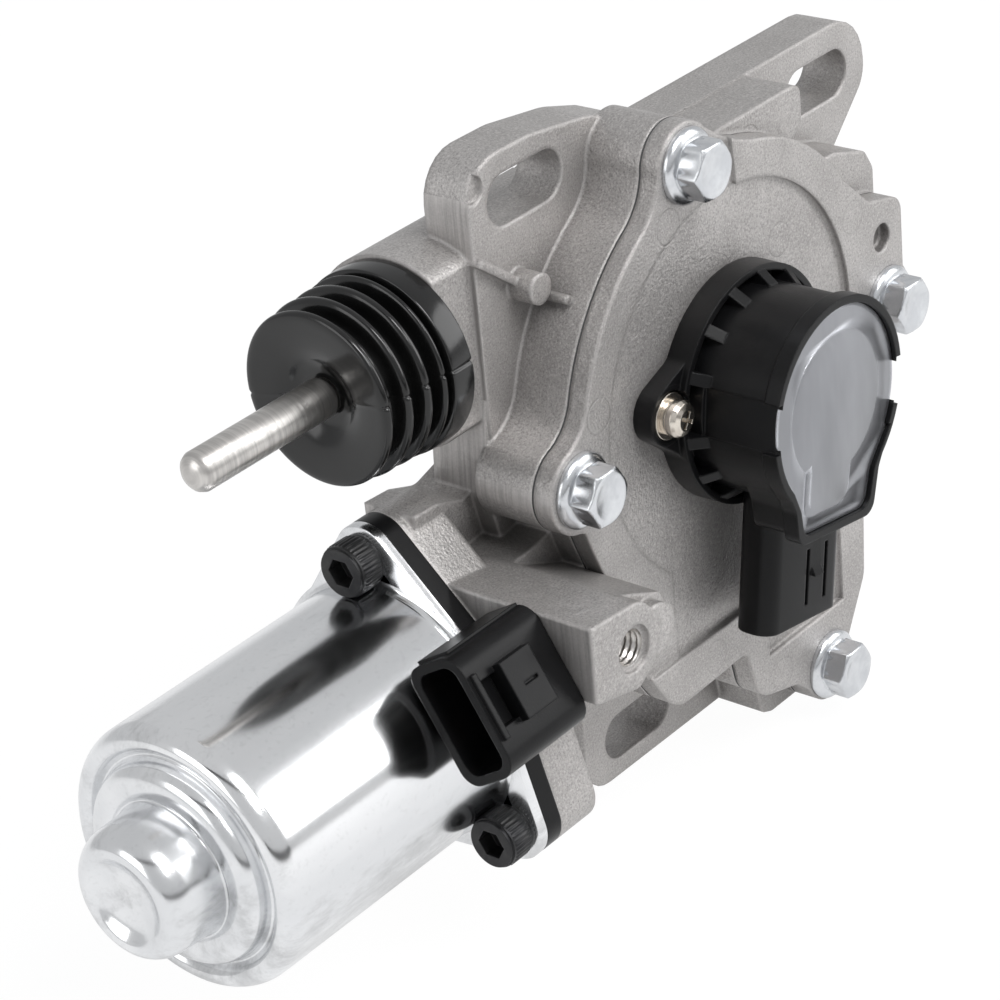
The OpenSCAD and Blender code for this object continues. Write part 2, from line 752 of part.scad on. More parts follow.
module push_rod() {
    color("LightGray") place() translate([0, rod_y, crank_r]) union() {
        rod_x(rod_tip_x + 2.2, -84, rod_r, 0, 0);
        rod_x(-84.1, -79.9, rod_r - 0.6, 0, 0);
        rod_x(-80, -5, rod_r, 0, 0);
        turned_x(0, 0) polygon([[0, rod_tip_x], [1.4, rod_tip_x + 0.2], [2.5, rod_tip_x + 0.7],
            [3.3, rod_tip_x + 1.4], [rod_r, rod_tip_x + 2.3], [0, rod_tip_x + 2.3]]);
    }
}

module rod_yoke() {
    h = roller_r + yoke_play;
    color("Silver") place() difference() {
        translate([-9, rod_y - 4, crank_r - 9.4]) cube([16.6, 8, 16.7]);
        translate([-h, rod_y - 5, crank_r - 7.7]) cube([2 * h, 10, 12.8]);
        rod_x(-10, -4, rod_r + fit, rod_y, crank_r);
    }
}

gear_housing();
gear_cover();
cover_gasket();
cover_bolts();
locating_dowels();
motor_can();
brush_card();
motor_screws();
field_magnets();
carbon_brushes();
brush_springs();
power_terminals();
can_bearing();
front_bearing();
worm_end_bearing();
thrust_pad();
wheel_front_bush();
wheel_rear_bush();
shaft_seal();
rod_guide_bush();
rod_seal();
rubber_boot();
sensor_body();
sensor_lid();
sensor_board();
sensor_terminals();
sensor_o_ring();
sensor_screws();
sensor_spring_washers();
sensor_flat_washers();
wheel_shaft();
sector_gear();
crank_arm();
crank_pin();
crank_roller();
sensor_rotor();
rotor_magnet();
motor_shaft();
armature_core();
armature_windings();
commutator();
worm();
push_rod();
rod_yoke();
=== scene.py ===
"""Looks, light and camera for the motor driven clutch cylinder."""
import logging
import math
from dataclasses import dataclass
from enum import Enum
from functools import partialmethod
from typing import Callable, Optional, Sequence, Union

import bmesh
import bpy
import numpy as np
from mathutils import Matrix, Vector, geometry


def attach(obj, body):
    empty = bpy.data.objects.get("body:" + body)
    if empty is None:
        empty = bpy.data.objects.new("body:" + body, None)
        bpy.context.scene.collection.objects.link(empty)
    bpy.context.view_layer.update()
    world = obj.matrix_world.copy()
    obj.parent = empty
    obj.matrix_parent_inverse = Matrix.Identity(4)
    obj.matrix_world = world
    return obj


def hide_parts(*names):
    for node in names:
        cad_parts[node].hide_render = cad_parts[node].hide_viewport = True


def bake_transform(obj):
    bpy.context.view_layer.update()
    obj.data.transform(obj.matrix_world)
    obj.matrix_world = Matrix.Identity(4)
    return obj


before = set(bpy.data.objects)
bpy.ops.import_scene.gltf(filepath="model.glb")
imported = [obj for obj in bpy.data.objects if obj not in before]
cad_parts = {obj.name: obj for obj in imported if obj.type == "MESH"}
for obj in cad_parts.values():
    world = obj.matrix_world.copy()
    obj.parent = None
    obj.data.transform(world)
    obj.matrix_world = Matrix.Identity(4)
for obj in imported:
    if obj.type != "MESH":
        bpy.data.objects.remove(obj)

LOG = logging.getLogger("clutch_cylinder")
MM = 0.001
# the modelling frame of the solids has its origin 27 mm in front of and 42 mm below the row's
SHIFT = np.array([0.0, -27.0, -42.0])
# y and z of the motor's and the push rod's axes, which run along X, in mm of that frame
MOTOR_AXIS = (24.0, -38.275)
ROD_AXIS = (28.0, 25.3)
Number = Union[int, float]
Place = Callable[[np.ndarray], np.ndarray]


def row(points: np.ndarray) -> np.ndarray:
    """Turns points of the modelling frame, in mm, into the row frame, in metres."""
    return (np.asarray(points, dtype=float) + SHIFT) * MM


class Wire:
    """A shader socket that can be written into arithmetic, one Math node for each operator."""

    def __init__(self, graph: "Tree", socket: bpy.types.NodeSocket) -> None:
        """Keeps the tree and the output socket."""
        self.graph = graph
        self.socket = socket

    def _math(self, operation: str, *others: Union["Wire", Number]) -> "Wire":
        """Adds one Math node on this value and the others and returns its output."""
        return self.graph.node("ShaderNodeMath", {"operation": operation}, [self, *others])

    __add__ = __radd__ = partialmethod(_math, "ADD")
    __mul__ = __rmul__ = partialmethod(_math, "MULTIPLY")
    __sub__ = partialmethod(_math, "SUBTRACT")
    high = partialmethod(_math, "MAXIMUM")
    low = partialmethod(_math, "MINIMUM")
    size = partialmethod(_math, "ABSOLUTE")

    def __rsub__(self, other: Number) -> "Wire":
        """other - self"""
        return self.graph.node("ShaderNodeMath", {"operation": "SUBTRACT"}, [other, self])

    def step(self, start: float, end: float) -> "Wire":
        """Runs smoothly from 0 at start to 1 at end."""
        return self.graph.node("ShaderNodeMapRange", {"interpolation_type": "SMOOTHSTEP"},
                               {"Value": self, "From Min": start, "From Max": end}, "Result")


class Tree:
    """A node tree, with short ways to add nodes and links."""

    def __init__(self, tree: bpy.types.NodeTree) -> None:
        """Takes the tree over and empties it."""
        self.tree = tree
        self.tree.nodes.clear()

    def fill(self, node: bpy.types.Node, values: Union[dict, list]) -> None:
        """Sets or links input sockets, which are given by name or number, or in order."""
        for key, value in enumerate(values) if isinstance(values, list) else values.items():
            if isinstance(value, Wire):
                self.tree.links.new(value.socket, node.inputs[key])
            else:
                node.inputs[key].default_value = value

    def node(self, kind: str, settings: dict, values: Union[dict, list],
             output: Union[str, int] = 0) -> Wire:
        """Adds one node.

        Args:
            kind: the node's type.
            settings: attributes set before its sockets.
            values: input sockets by name or in order, each a number, colour or Wire.
            output: name or number of the output to return.

        Returns:
            The output as a Wire.
        """
        made = self.tree.nodes.new(kind)
        for key, value in settings.items():
            setattr(made, key, value)
        self.fill(made, values)
        return Wire(self, made.outputs[output])

    def end(self, kind: str, shader: Wire) -> None:
        """Adds the tree's output node and feeds it a shader."""
        self.fill(self.tree.nodes.new(kind), [shader])


class Graph(Tree):
    """The node tree of one material."""

    def __init__(self, name: str) -> None:
        """Makes the material with only its output and a Principled shader."""
        self.material = bpy.data.materials.new(name)
        self.material.use_nodes = True
        super().__init__(self.material.node_tree)
        self.shader = self.tree.nodes.new("ShaderNodeBsdfPrincipled")
        self.end("ShaderNodeOutputMaterial", Wire(self, self.shader.outputs[0]))
        self.place = self.node("ShaderNodeTexCoord", {}, {}, "Object")

    def vector(self, operation: str, first: Wire, second: Union[Wire, Sequence[float]],
               output: str = "Vector") -> Wire:
        """Adds one Vector Math node."""
        return self.node("ShaderNodeVectorMath", {"operation": operation}, [first, second],
                         output)

    def stretched(self, *scale: float) -> Wire:
        """Object coordinates, in metres, times a scale for each axis."""
        return self.vector("MULTIPLY", self.place, scale)

    def noise(self, scale: float, detail: float = 3.0, rough: float = 0.55,
              along: Optional[Wire] = None) -> Wire:
        """Noise between 0 and 1 at so many cells a metre."""
        return self.node("ShaderNodeTexNoise", {},
                         {"Vector": along or self.place, "Scale": scale, "Detail": detail,
                          "Roughness": rough}, "Fac")

    def blend(self, mask: Union[Wire, float], *colours: Union[Wire, Sequence[float]]) -> Wire:
        """Mixes two colours by a mask, through the sockets that the node has for colours."""
        first, second = (c if isinstance(c, Wire) else (*c, 1.0) for c in colours)
        return self.node("ShaderNodeMix", {"data_type": "RGBA"},
                         {0: mask, 6: first, 7: second}, 2)

    def along(self, vector: Wire, axis: str, start: float, end: float) -> Wire:
        """Runs from 0 to 1 as a vector's component on an axis goes from start to end."""
        return self.node("ShaderNodeSeparateXYZ", {}, [vector], axis).step(start, end)

    def facing(self) -> Wire:
        """The face's own normal, in object space, which no bevel or bump has changed."""
        normal = self.node("ShaderNodeNewGeometry", {}, {}, "True Normal")
        return self.node("ShaderNodeVectorTransform",
                         {"vector_type": "NORMAL", "convert_from": "WORLD",
                          "convert_to": "OBJECT"}, [normal])

    def edges(self, rounded: Wire) -> Wire:
        """1 where a rounded normal leaves the true one, so along edges, and 0 on open faces."""
        normal = self.node("ShaderNodeNewGeometry", {}, {}, "Normal")
        return (1.0 - self.vector("DOT_PRODUCT", rounded, normal, "Value")).step(0.01, 0.22)

    def feed(self, **sockets: Union[Wire, Number, tuple]) -> None:
        """Sets or links sockets of the Principled shader; _ in a name stands for a space."""
        self.fill(self.shader, {key.replace("_", " "): value
                                for key, value in sockets.items()})


class Grain(Enum):
    """How a surface was made; the value is how far its edges are painted lighter than its faces,
    partly as wear and partly as a painted highlight.
    """

    PLAIN = 0.2
    DRAWN = 0.3
    MOULDED = 0.35
    CAST = 0.45
    LID = 1.0


def toned(colour: Sequence[float], factor: float, lift: float = 0.0) -> tuple:
    """A colour times a factor, plus lift, with no channel above 1."""
    return tuple(min(1.0, factor * channel + lift) for channel in colour)


@dataclass(frozen=True)
class Finish:
    """A surface finish: colour, gloss, grain and how far its edges look rounded."""

    name: str
    colour: tuple
    shade: tuple
    metal: float = 0.0
    rough: float = 0.5
    rough_spread: float = 0.08
    mottle: float = 60.0
    grain: float = 900.0
    depth: float = 0.00004
    streak: tuple = (1.0, 1.0, 1.0)
    edge: float = 0.0
    level: float = 0.5
    kind: Grain = Grain.PLAIN
    # how much lighter the edge colour is painted: partly wear, partly a painted highlight
    edge_wear_and_highlight: float = 1.3

    def colour_of(self, graph: Graph, cloud: Wire) -> Wire:
        """The base colour, mottled between the finish's two colours."""
        return graph.blend(cloud, self.colour, self.shade)

    def height_of(self, graph: Graph, fine: Wire) -> Wire:
        """The height that the bump is made from."""
        return fine

    def gloss_of(self, cloud: Wire, fine: Wire) -> Wire:
        """The roughness, uneven with the mottle and the grain."""
        least = self.rough - self.rough_spread
        return cloud * self.rough_spread + fine * self.rough_spread + least

    def make(self) -> bpy.types.Material:
        """Builds the material from its colour, gloss and height, with bump over soft edges, whose
        colour is painted lighter as wear and painted highlight.
        """
        graph = Graph(self.name)
        along = graph.stretched(*self.streak)
        cloud = graph.noise(self.mottle, 4.0, 0.6, along).step(0.32, 0.68)
        fine = graph.noise(self.grain, 3.0, 0.6, along)
        bump = {"Height": self.height_of(graph, fine), "Strength": 1.0, "Distance": self.depth}
        colour = self.colour_of(graph, cloud)
        if self.edge:
            soft = graph.node("ShaderNodeBevel", {"samples": 6}, {"Radius": self.edge})
            bump["Normal"] = soft
            # painted highlight and wear: a lighter copy of the colour along the rounded edges
            colour = graph.blend(graph.edges(soft) * self.kind.value, colour,
                                 toned(self.colour, self.edge_wear_and_highlight, 0.004))
        graph.feed(Base_Color=colour, Roughness=self.gloss_of(cloud, fine),
                   Metallic=self.metal, Specular_IOR_Level=self.level,
                   Normal=graph.node("ShaderNodeBump", {}, bump))
        return graph.material


@dataclass(frozen=True)
class CastFinish(Finish):
    """Die cast aluminium: speckled, with ejector marks, flow lines and machined streaks."""

    kind: Grain = Grain.CAST
    # places of the round ejector marks on the cover, in mm of the modelling frame
    marks: tuple = ((15.7, 40.1), (39.9, 17.0), (17.2, 21.1), (-16.5, 36.8), (-40.1, 10.1),
                    (-12.2, -53.3), (9.0, -68.3))
    mark_radius: float = 3.3

    def ring_mask(self, graph: Graph) -> Wire:
        """1 on the thin rings of the ejector marks, on faces that look to the front."""
        flat = graph.stretched(1.0, 0.0, 1.0)
        total: Union[Wire, Number] = 0.0
        for x, z in self.marks:
            middle = (x * MM, 0.0, (z + SHIFT[2]) * MM)
            away = graph.vector("DISTANCE", flat, middle, "Value")
            total = (away - self.mark_radius * MM).size().step(0.00032, 0.00008) + total
        return total * graph.along(graph.facing(), "Y", -0.9, -0.97)

    def milled(self, graph: Graph) -> Wire:
        """1 on the flat sides that look along -X above the rod, which a cutter has faced."""
        return graph.along(graph.facing(), "X", -0.95, -0.99) \
            * graph.along(graph.place, "X", -0.046, -0.049)

    def colour_of(self, graph: Graph, cloud: Wire) -> Wire:
        """Mottle, then specks, scratches, milled sides, rings and painted shade in the hollows.
        """
        specks = graph.noise(2300.0, 2.0, 0.8)
        lines = graph.noise(14.0, 2.0, 0.5, graph.stretched(9.0, 9.0, 120.0))
        scratch = lines.step(0.69, 0.73) * graph.noise(30.0, 2.0).step(0.55, 0.7)
        cuts = graph.noise(40.0, 3.0, 0.7, graph.stretched(4.0, 30.0, 1.2))
        # painted shade: ambient occlusion darkens the colour in hollows and crevices
        hollow = graph.node("ShaderNodeAmbientOcclusion", {"samples": 4},
                            {"Distance": 0.010}, "AO")
        dark, light = toned(self.colour, 0.66), toned(self.colour, 1.3)
        colour = super().colour_of(graph, cloud)
        for mask, over in (
                (specks.step(0.52, 0.64) * 0.9, dark),
                (specks.step(0.46, 0.34) * 0.7, light),
                (scratch * 0.5, dark),
                (self.milled(graph) * 0.7, graph.blend(cuts.step(0.35, 0.7), light, self.shade)),
                (self.ring_mask(graph) * 0.3, dark),
                (hollow.step(0.8, 0.15) * 0.72, toned(self.colour, 0.4))):
            colour = graph.blend(mask, colour, over)
        return colour

    def height_of(self, graph: Graph, fine: Wire) -> Wire:
        """Grain, a slow waviness, the rings' grooves and smoother milled sides."""
        wave = graph.noise(260.0, 2.0, 0.5)
        rough = fine * (1.0 - self.milled(graph) * 0.7) + wave * 1.1
        return rough - self.ring_mask(graph) * 0.35


@dataclass(frozen=True)
class DrawnFinish(Finish):
    """Bright drawn sheet with darker streaks along X that are a painted reflection."""

    kind: Grain = Grain.DRAWN

    def colour_of(self, graph: Graph, cloud: Wire) -> Wire:
        """A bright colour with darker streaks along X, a painted reflection, and small spots."""
        # painted reflection: dark bands stretched along the can stand in for reflected dark
        # streaks
        painted_reflection_streak = graph.noise(34.0, 9.0, 0.74, graph.stretched(0.35, 1, 1)).step(0.50, 0.66)
        spots = graph.noise(900.0, 2.0, 0.6).step(0.58, 0.66)
        return graph.blend((painted_reflection_streak * 0.5 + spots * 0.08).low(1.0),
                           super().colour_of(graph, cloud), toned(self.colour, 0.42))


CAST = CastFinish("cast_aluminium", (0.445, 0.428, 0.418), (0.375, 0.360, 0.351), 0.66, 0.44,
                  0.07, 70.0, 1700.0, 0.00015, edge=0.0012)
GASKET = Finish("gasket_sheet", (0.05, 0.05, 0.05), (0.08, 0.08, 0.08), 0.0, 0.7)
ZINC = Finish("zinc_plate", (0.70, 0.715, 0.735), (0.60, 0.615, 0.64), 1.0, 0.24, 0.04, 260.0,
              600.0, 0.000002, edge=0.0005, kind=Grain.DRAWN)
BRIGHT = DrawnFinish("bright_steel", (0.86, 0.865, 0.875), (0.74, 0.75, 0.765), 1.0, 0.17,
                     0.08, 40.0, 300.0, 0.000006, (0.2, 1, 1), 0.0)
PLASTIC = Finish("black_plastic", (0.004, 0.004, 0.0044), (0.0055, 0.0055, 0.006), 0.0, 0.34,
                 0.05, 120.0, 2400.0, 0.00002, edge=0.0005, level=0.2, kind=Grain.MOULDED)
BLACK_STEEL = Finish("black_oxide", (0.020, 0.020, 0.022), (0.04, 0.04, 0.04), 0.6, 0.34, 0.08,
                     200.0, 1500.0, 0.00002, edge=0.0003)
RUBBER = Finish("moulded_rubber", (0.0045, 0.0045, 0.0045), (0.007, 0.007, 0.007), 0.0, 0.17,
                0.07, 90.0, 1500.0, 0.000006, level=0.5, kind=Grain.MOULDED)
GROUND = Finish("ground_steel", (0.66, 0.64, 0.615), (0.47, 0.455, 0.44), 1.0, 0.33, 0.08,
                1300.0, 3400.0, 0.00006, (1.0, 0.03, 0.03))
NICKEL = Finish("nickel_plate", (0.72, 0.67, 0.60), (0.60, 0.55, 0.49), 1.0, 0.22, 0.06, 300.0,
                1200.0, 0.00001, edge=0.0003)
# the lid's edges are painted much lighter: a painted highlight on its bevels, partly wear
SHEET = Finish("brushed_sheet", (0.33, 0.335, 0.355), (0.27, 0.275, 0.29), 0.95, 0.33, 0.05, 60.0,
               1400.0, 0.00001, (1, 1, 0.3), 0.0012, kind=Grain.LID, edge_wear_and_highlight=2.6)
BRONZE = Finish("sintered_bronze", (0.55, 0.38, 0.18), (0.45, 0.30, 0.14), 0.9, 0.45)
COPPER = Finish("copper", (0.72, 0.40, 0.24), (0.60, 0.32, 0.18), 1.0, 0.35)
FERRITE = Finish("ferrite", (0.05, 0.05, 0.055), (0.08, 0.08, 0.08), 0.2, 0.6)
CARBON = Finish("carbon", (0.02, 0.02, 0.02), (0.03, 0.03, 0.03), 0.2, 0.55)
BOARD = Finish("board_lacquer", (0.02, 0.12, 0.05), (0.02, 0.10, 0.04), 0.0, 0.3)
NATURAL = Finish("natural_plastic", (0.72, 0.66, 0.52), (0.66, 0.60, 0.47), 0.0, 0.45)
CORE = Finish("core_sheets", (0.25, 0.25, 0.27), (0.18, 0.18, 0.2), 0.8, 0.5, 0.08, 100.0,
              3000.0, 0.00005, (20, 1, 1))


def linked(name: str, data: bpy.types.ID) -> bpy.types.Object:
    """Makes an object of a mesh, lamp or camera and puts it in the scene."""
    made = bpy.data.objects.new(name, data)
    bpy.context.scene.collection.objects.link(made)
    return made


def face_outward(mesh: bpy.types.Mesh) -> None:
    """Turns all faces of a mesh outward."""
    work = bmesh.new()
    work.from_mesh(mesh)
    bmesh.ops.recalc_face_normals(work, faces=work.faces)
    work.to_mesh(mesh)
    work.free()


def smooth(mesh: bpy.types.Mesh, degrees: float) -> None:
    """Shades a mesh smooth, apart from edges sharper than an angle."""
    mesh.polygons.foreach_set("use_smooth", [True] * len(mesh.polygons))
    mesh.set_sharp_from_angle(angle=math.radians(degrees))


def unit(vector: np.ndarray) -> np.ndarray:
    """The vector with length 1."""
    return vector / np.linalg.norm(vector)


def rounded(points: Sequence[tuple], steps: int = 6) -> np.ndarray:
    """Rounds the corners of an outline.

    At a corner b with half angle h and radius r, the arc's middle lies r / sin h from b along
    the bisector, and the arc starts and ends r / tan h from b along the two sides.

    Args:
        points: corners as (first, second, radius); radius 0 keeps the corner sharp.
        steps: chords for each arc.

    Returns:
        The outline as n rows of 2 numbers.
    """
    corners = np.array(points, dtype=float)
    made = []
    for index, (b, r) in enumerate(zip(corners[:, :2], corners[:, 2])):
        if r <= 0:
            made.append(b)
            continue
        u = unit(corners[index - 1, :2] - b)
        v = unit(corners[(index + 1) % len(corners), :2] - b)
        half = math.acos(float(u @ v)) / 2
        middle = b + unit(u + v) * r / math.sin(half)
        p = b + u * r / math.tan(half) - middle
        q = b + v * r / math.tan(half) - middle
        turn = math.atan2(p[0] * q[1] - p[1] * q[0], float(p @ q))
        for angle in math.atan2(p[1], p[0]) + turn * np.arange(steps + 1) / steps:
            made.append(middle + r * np.array([math.cos(angle), math.sin(angle)]))
    return np.array(made)


def angles(count: int) -> np.ndarray:
    """Equal angles round a circle, as one row."""
    return np.linspace(0.0, 2 * np.pi, count, endpoint=False)[None, :]


def disc(radius: float, first: float = 0.0, second: float = 0.0, count: int = 72) -> np.ndarray:
    """The outline of a circle."""
    turn = angles(count)[0]
    return np.stack([first + radius * np.cos(turn), second + radius * np.sin(turn)], axis=-1)


def oblong(low: Sequence[float], high: Sequence[float]) -> np.ndarray:
    """The outline of a rectangle from its low to its high corner."""
    (left, bottom), (right, top) = low, high
    return np.array([(left, bottom), (right, bottom), (right, top), (left, top)], dtype=float)


def rotated(points: np.ndarray, degrees: float, first: int, second: int) -> np.ndarray:
    """Turns points by an angle from the first coordinate's axis toward the second's.

    The new coordinates are p cos a - q sin a and p sin a + q cos a.
    """
    made = np.array(points, dtype=float)
    p, q = made[..., first].copy(), made[..., second].copy()
    cos, sin = math.cos(math.radians(degrees)), math.sin(math.radians(degrees))
    made[..., first], made[..., second] = p * cos - q * sin, p * sin + q * cos
    return made


class Axis(Enum):
    """Direction of an extrusion, with the order in which (first, second, along) become x y z."""

    X = (2, 0, 1)
    Y = (0, 2, 1)
    Z = (0, 1, 2)


def spun(axis: Axis, centre: Sequence[float], along: np.ndarray, radius: np.ndarray,
         turn: np.ndarray) -> np.ndarray:
    """Rings of points round an axis, radius * cos a and radius * sin a off it at angle a.

    Args:
        axis: the direction of the axis.
        centre: its place across that direction.
        along: each ring's place along it, as a column.
        radius: the radius of each ring, as a column, or of each point.
        turn: the angles, as a row.

    Returns:
        The points, rings by angles by 3.
    """
    points = np.stack([centre[0] + radius * np.cos(turn), centre[1] + radius * np.sin(turn),
                       along + 0 * radius * turn], axis=-1)
    return points[..., list(axis.value)]


class Solid:
    """Closed shapes in mm that are joined and cut one after the other into one mesh."""

    def __init__(self, place: Optional[Place] = None) -> None:
        """Starts empty, with its shapes drawn in a frame as within says."""
        self.steps: list = []
        self.within(place)

    def within(self, place: Optional[Place] = None) -> "Solid":
        """Draws what follows in the frame that place turns into the modelling frame."""
        self.place = place or (lambda points: points)
        return self

    def _shape(self, points: np.ndarray, faces: list, cut: bool) -> "Solid":
        """Keeps one closed shape with its normals turned outward."""
        mesh = bpy.data.meshes.new("shape")
        mesh.from_pydata(self.place(points).tolist(), [], faces)
        face_outward(mesh)
        self.steps.append(("DIFFERENCE" if cut else "UNION", mesh))
        return self

    def prism(self, outline: np.ndarray, start: float, end: float, axis: Axis = Axis.Y,
              cut: bool = False, taper: float = 1.0) -> "Solid":
        """Extrudes an outline, or corners with radii, along an axis; taper scales its end."""
        flat = np.asarray(outline, dtype=float)
        if flat.shape[1] == 3:
            flat = rounded(flat)
        ends = [np.concatenate([flat * scale, np.full((len(flat), 1), at)], axis=1)
                for scale, at in ((1.0, start), (taper, end))]
        points = np.concatenate(ends)[:, list(axis.value)]
        count = len(flat)
        faces = [list(range(count))[::-1], list(range(count, 2 * count))]
        faces += [[i, (i + 1) % count, (i + 1) % count + count, i + count]
                  for i in range(count)]
        return self._shape(points, faces, cut)

    def bar(self, radius: float, start: float, end: float, first: float = 0.0,
            second: float = 0.0, axis: Axis = Axis.Y, cut: bool = False) -> "Solid":
        """A round bar; first and second are its axis's place across it."""
        return self.prism(disc(radius, first, second), start, end, axis, cut)

    def holes(self, radius: float, start: float, end: float, *spots: tuple) -> "Solid":
        """Drills equal holes along Y at these places."""
        for spot in spots:
            self.bar(radius, start, end, *spot, cut=True)
        return self

    def block(self, corner: Sequence[float], size: Sequence[float],
              cut: bool = False) -> "Solid":
        """A box from its low corner and size."""
        x, y, z = corner
        dx, dy, dz = size
        return self.prism(oblong((x, z), (x + dx, z + dz)), y, y + dy, Axis.Y, cut)

    def solve(self, name: str) -> bpy.types.Mesh:
        """Joins and cuts the shapes in order.

        Returns:
            One mesh in the row frame, in metres, with edges sharper than 35 degrees kept.
        """
        shapes = [linked(f"shape_{index}", mesh) for index, (_, mesh) in enumerate(self.steps)]
        for (operation, _), shape in zip(self.steps[1:], shapes[1:]):
            change = shapes[0].modifiers.new("change", "BOOLEAN")
            change.operation, change.solver, change.object = operation, "MANIFOLD", shape
        bpy.context.view_layer.update()
        seen = shapes[0].evaluated_get(bpy.context.evaluated_depsgraph_get())
        mesh = bpy.data.meshes.new_from_object(seen)
        mesh.name = name
        for shape in shapes:
            old = shape.data
            bpy.data.objects.remove(shape)
            bpy.data.meshes.remove(old)
        mesh.transform(Matrix.Scale(MM, 4) @ Matrix.Translation(Vector(SHIFT)))
        mesh.materials.clear()
        smooth(mesh, 35)
        LOG.info("%s: %d faces from %d shapes", name, len(mesh.polygons), len(self.steps))
        return mesh


def smooth_loop(points: np.ndarray, steps: int) -> np.ndarray:
    """Runs a closed smooth curve through points.

    Between two points p1 and p2, with neighbours p0 and p3, a point at t from 0 to 1 is
    (2 p1 + (p2 - p0) t + (2 p0 - 5 p1 + 4 p2 - p3) t^2 + (3 p1 - p0 - 3 p2 + p3) t^3) / 2.

    Args:
        points: n rows of 2 numbers.
        steps: new points for each old one.

    Returns:
        n * steps rows of 2 numbers.
    """
    p1 = np.asarray(points, dtype=float)[:, None, :]
    p0, p2, p3 = (np.roll(p1, shift, axis=0) for shift in (1, -1, -2))
    t = np.linspace(0.0, 1.0, steps, endpoint=False)[None, :, None]
    curve = (2 * p1 + (p2 - p0) * t + (2 * p0 - 5 * p1 + 4 * p2 - p3) * t ** 2
             + (3 * p1 - p0 - 3 * p2 + p3) * t ** 3) / 2
    return curve.reshape(-1, 2)


def open_curve(points: np.ndarray, steps: int) -> np.ndarray:
    """Runs smooth_loop's curve through points that don't close, keeping both ends."""
    ends = np.concatenate([points[:1], points, points[-1:]])
    return np.concatenate([smooth_loop(ends, steps)[steps:-2 * steps], points[-1:]])


# materials made so far, by the names of their finishes
MADE: dict = {}


@dataclass
class Assembly:
    """One group of pieces that are dressed and built together."""

    body: str = "housing"

    def cloth(self) -> dict:
        """Which nodes take which finish, as {finish: names}."""
        return {}

    def build(self) -> None:
        """Builds the group's own pieces."""

    def material(self, finish: Finish) -> bpy.types.Material:
        """Makes a finish once and hands it out again."""
        if finish.name not in MADE:
            MADE[finish.name] = finish.make()
        return MADE[finish.name]

    def dress(self) -> int:
        """Gives each CAD node its finish.

        Returns:
            How many nodes were dressed.
        """
        cloth = [(name, finish) for finish, names in self.cloth().items() for name in names]
        for name, finish in cloth:
            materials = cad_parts[name].data.materials
            materials.clear()
            materials.append(self.material(finish))
        return len(cloth)

    def grid(self, name: str, points: np.ndarray, finish: Finish, slot: str,
             closed: tuple = (False, True), outward: bool = True) -> bpy.types.Object:
        """Makes one piece from a grid of points in the modelling frame.

        Args:
            name: the piece's name.
            points: rows by columns by 3, in mm.
            finish: its finish.
            slot: the record's material slot; not used.
            closed: whether the rows and the columns join up at their ends.
            outward: turns all faces outward; False keeps the grid's own side.

        Returns:
            The object, smooth shaded, with its faces looking out.
        """
        rows, columns = points.shape[:2]
        a = np.arange(rows - (not closed[0]))[:, None]
        b = np.arange(columns - (not closed[1]))[None, :]
        faces = np.stack([(a + i) % rows * columns + (b + j) % columns
                          for i, j in ((0, 0), (1, 0), (1, 1), (0, 1))], axis=-1).reshape(-1, 4)
        mesh = bpy.data.meshes.new(name)
        mesh.from_pydata(row(points).reshape(-1, 3).tolist(), [], faces.tolist())
        if outward:
            face_outward(mesh)
        smooth(mesh, 40)
        LOG.info("%s: %d faces", name, len(faces))
        return self.piece(name, mesh, finish, slot)

    def piece(self, name: str, mesh: bpy.types.Mesh, finish: Finish, slot: str,
              *nodes: str) -> bpy.types.Object:
        """Makes an object of a mesh, with its finish, and hides the nodes it shows."""
        mesh.materials.append(self.material(finish))
        made = linked(name, mesh)
        if nodes:
            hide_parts(*nodes)
            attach(made, self.body)
        return made

    def solid(self, work: Solid, name: str, finish: Finish, slot: str, *nodes: str) -> None:
        """Solves a solid into one piece in the place of these nodes."""
        self.piece(name, work.solve(name), finish, slot, *nodes)


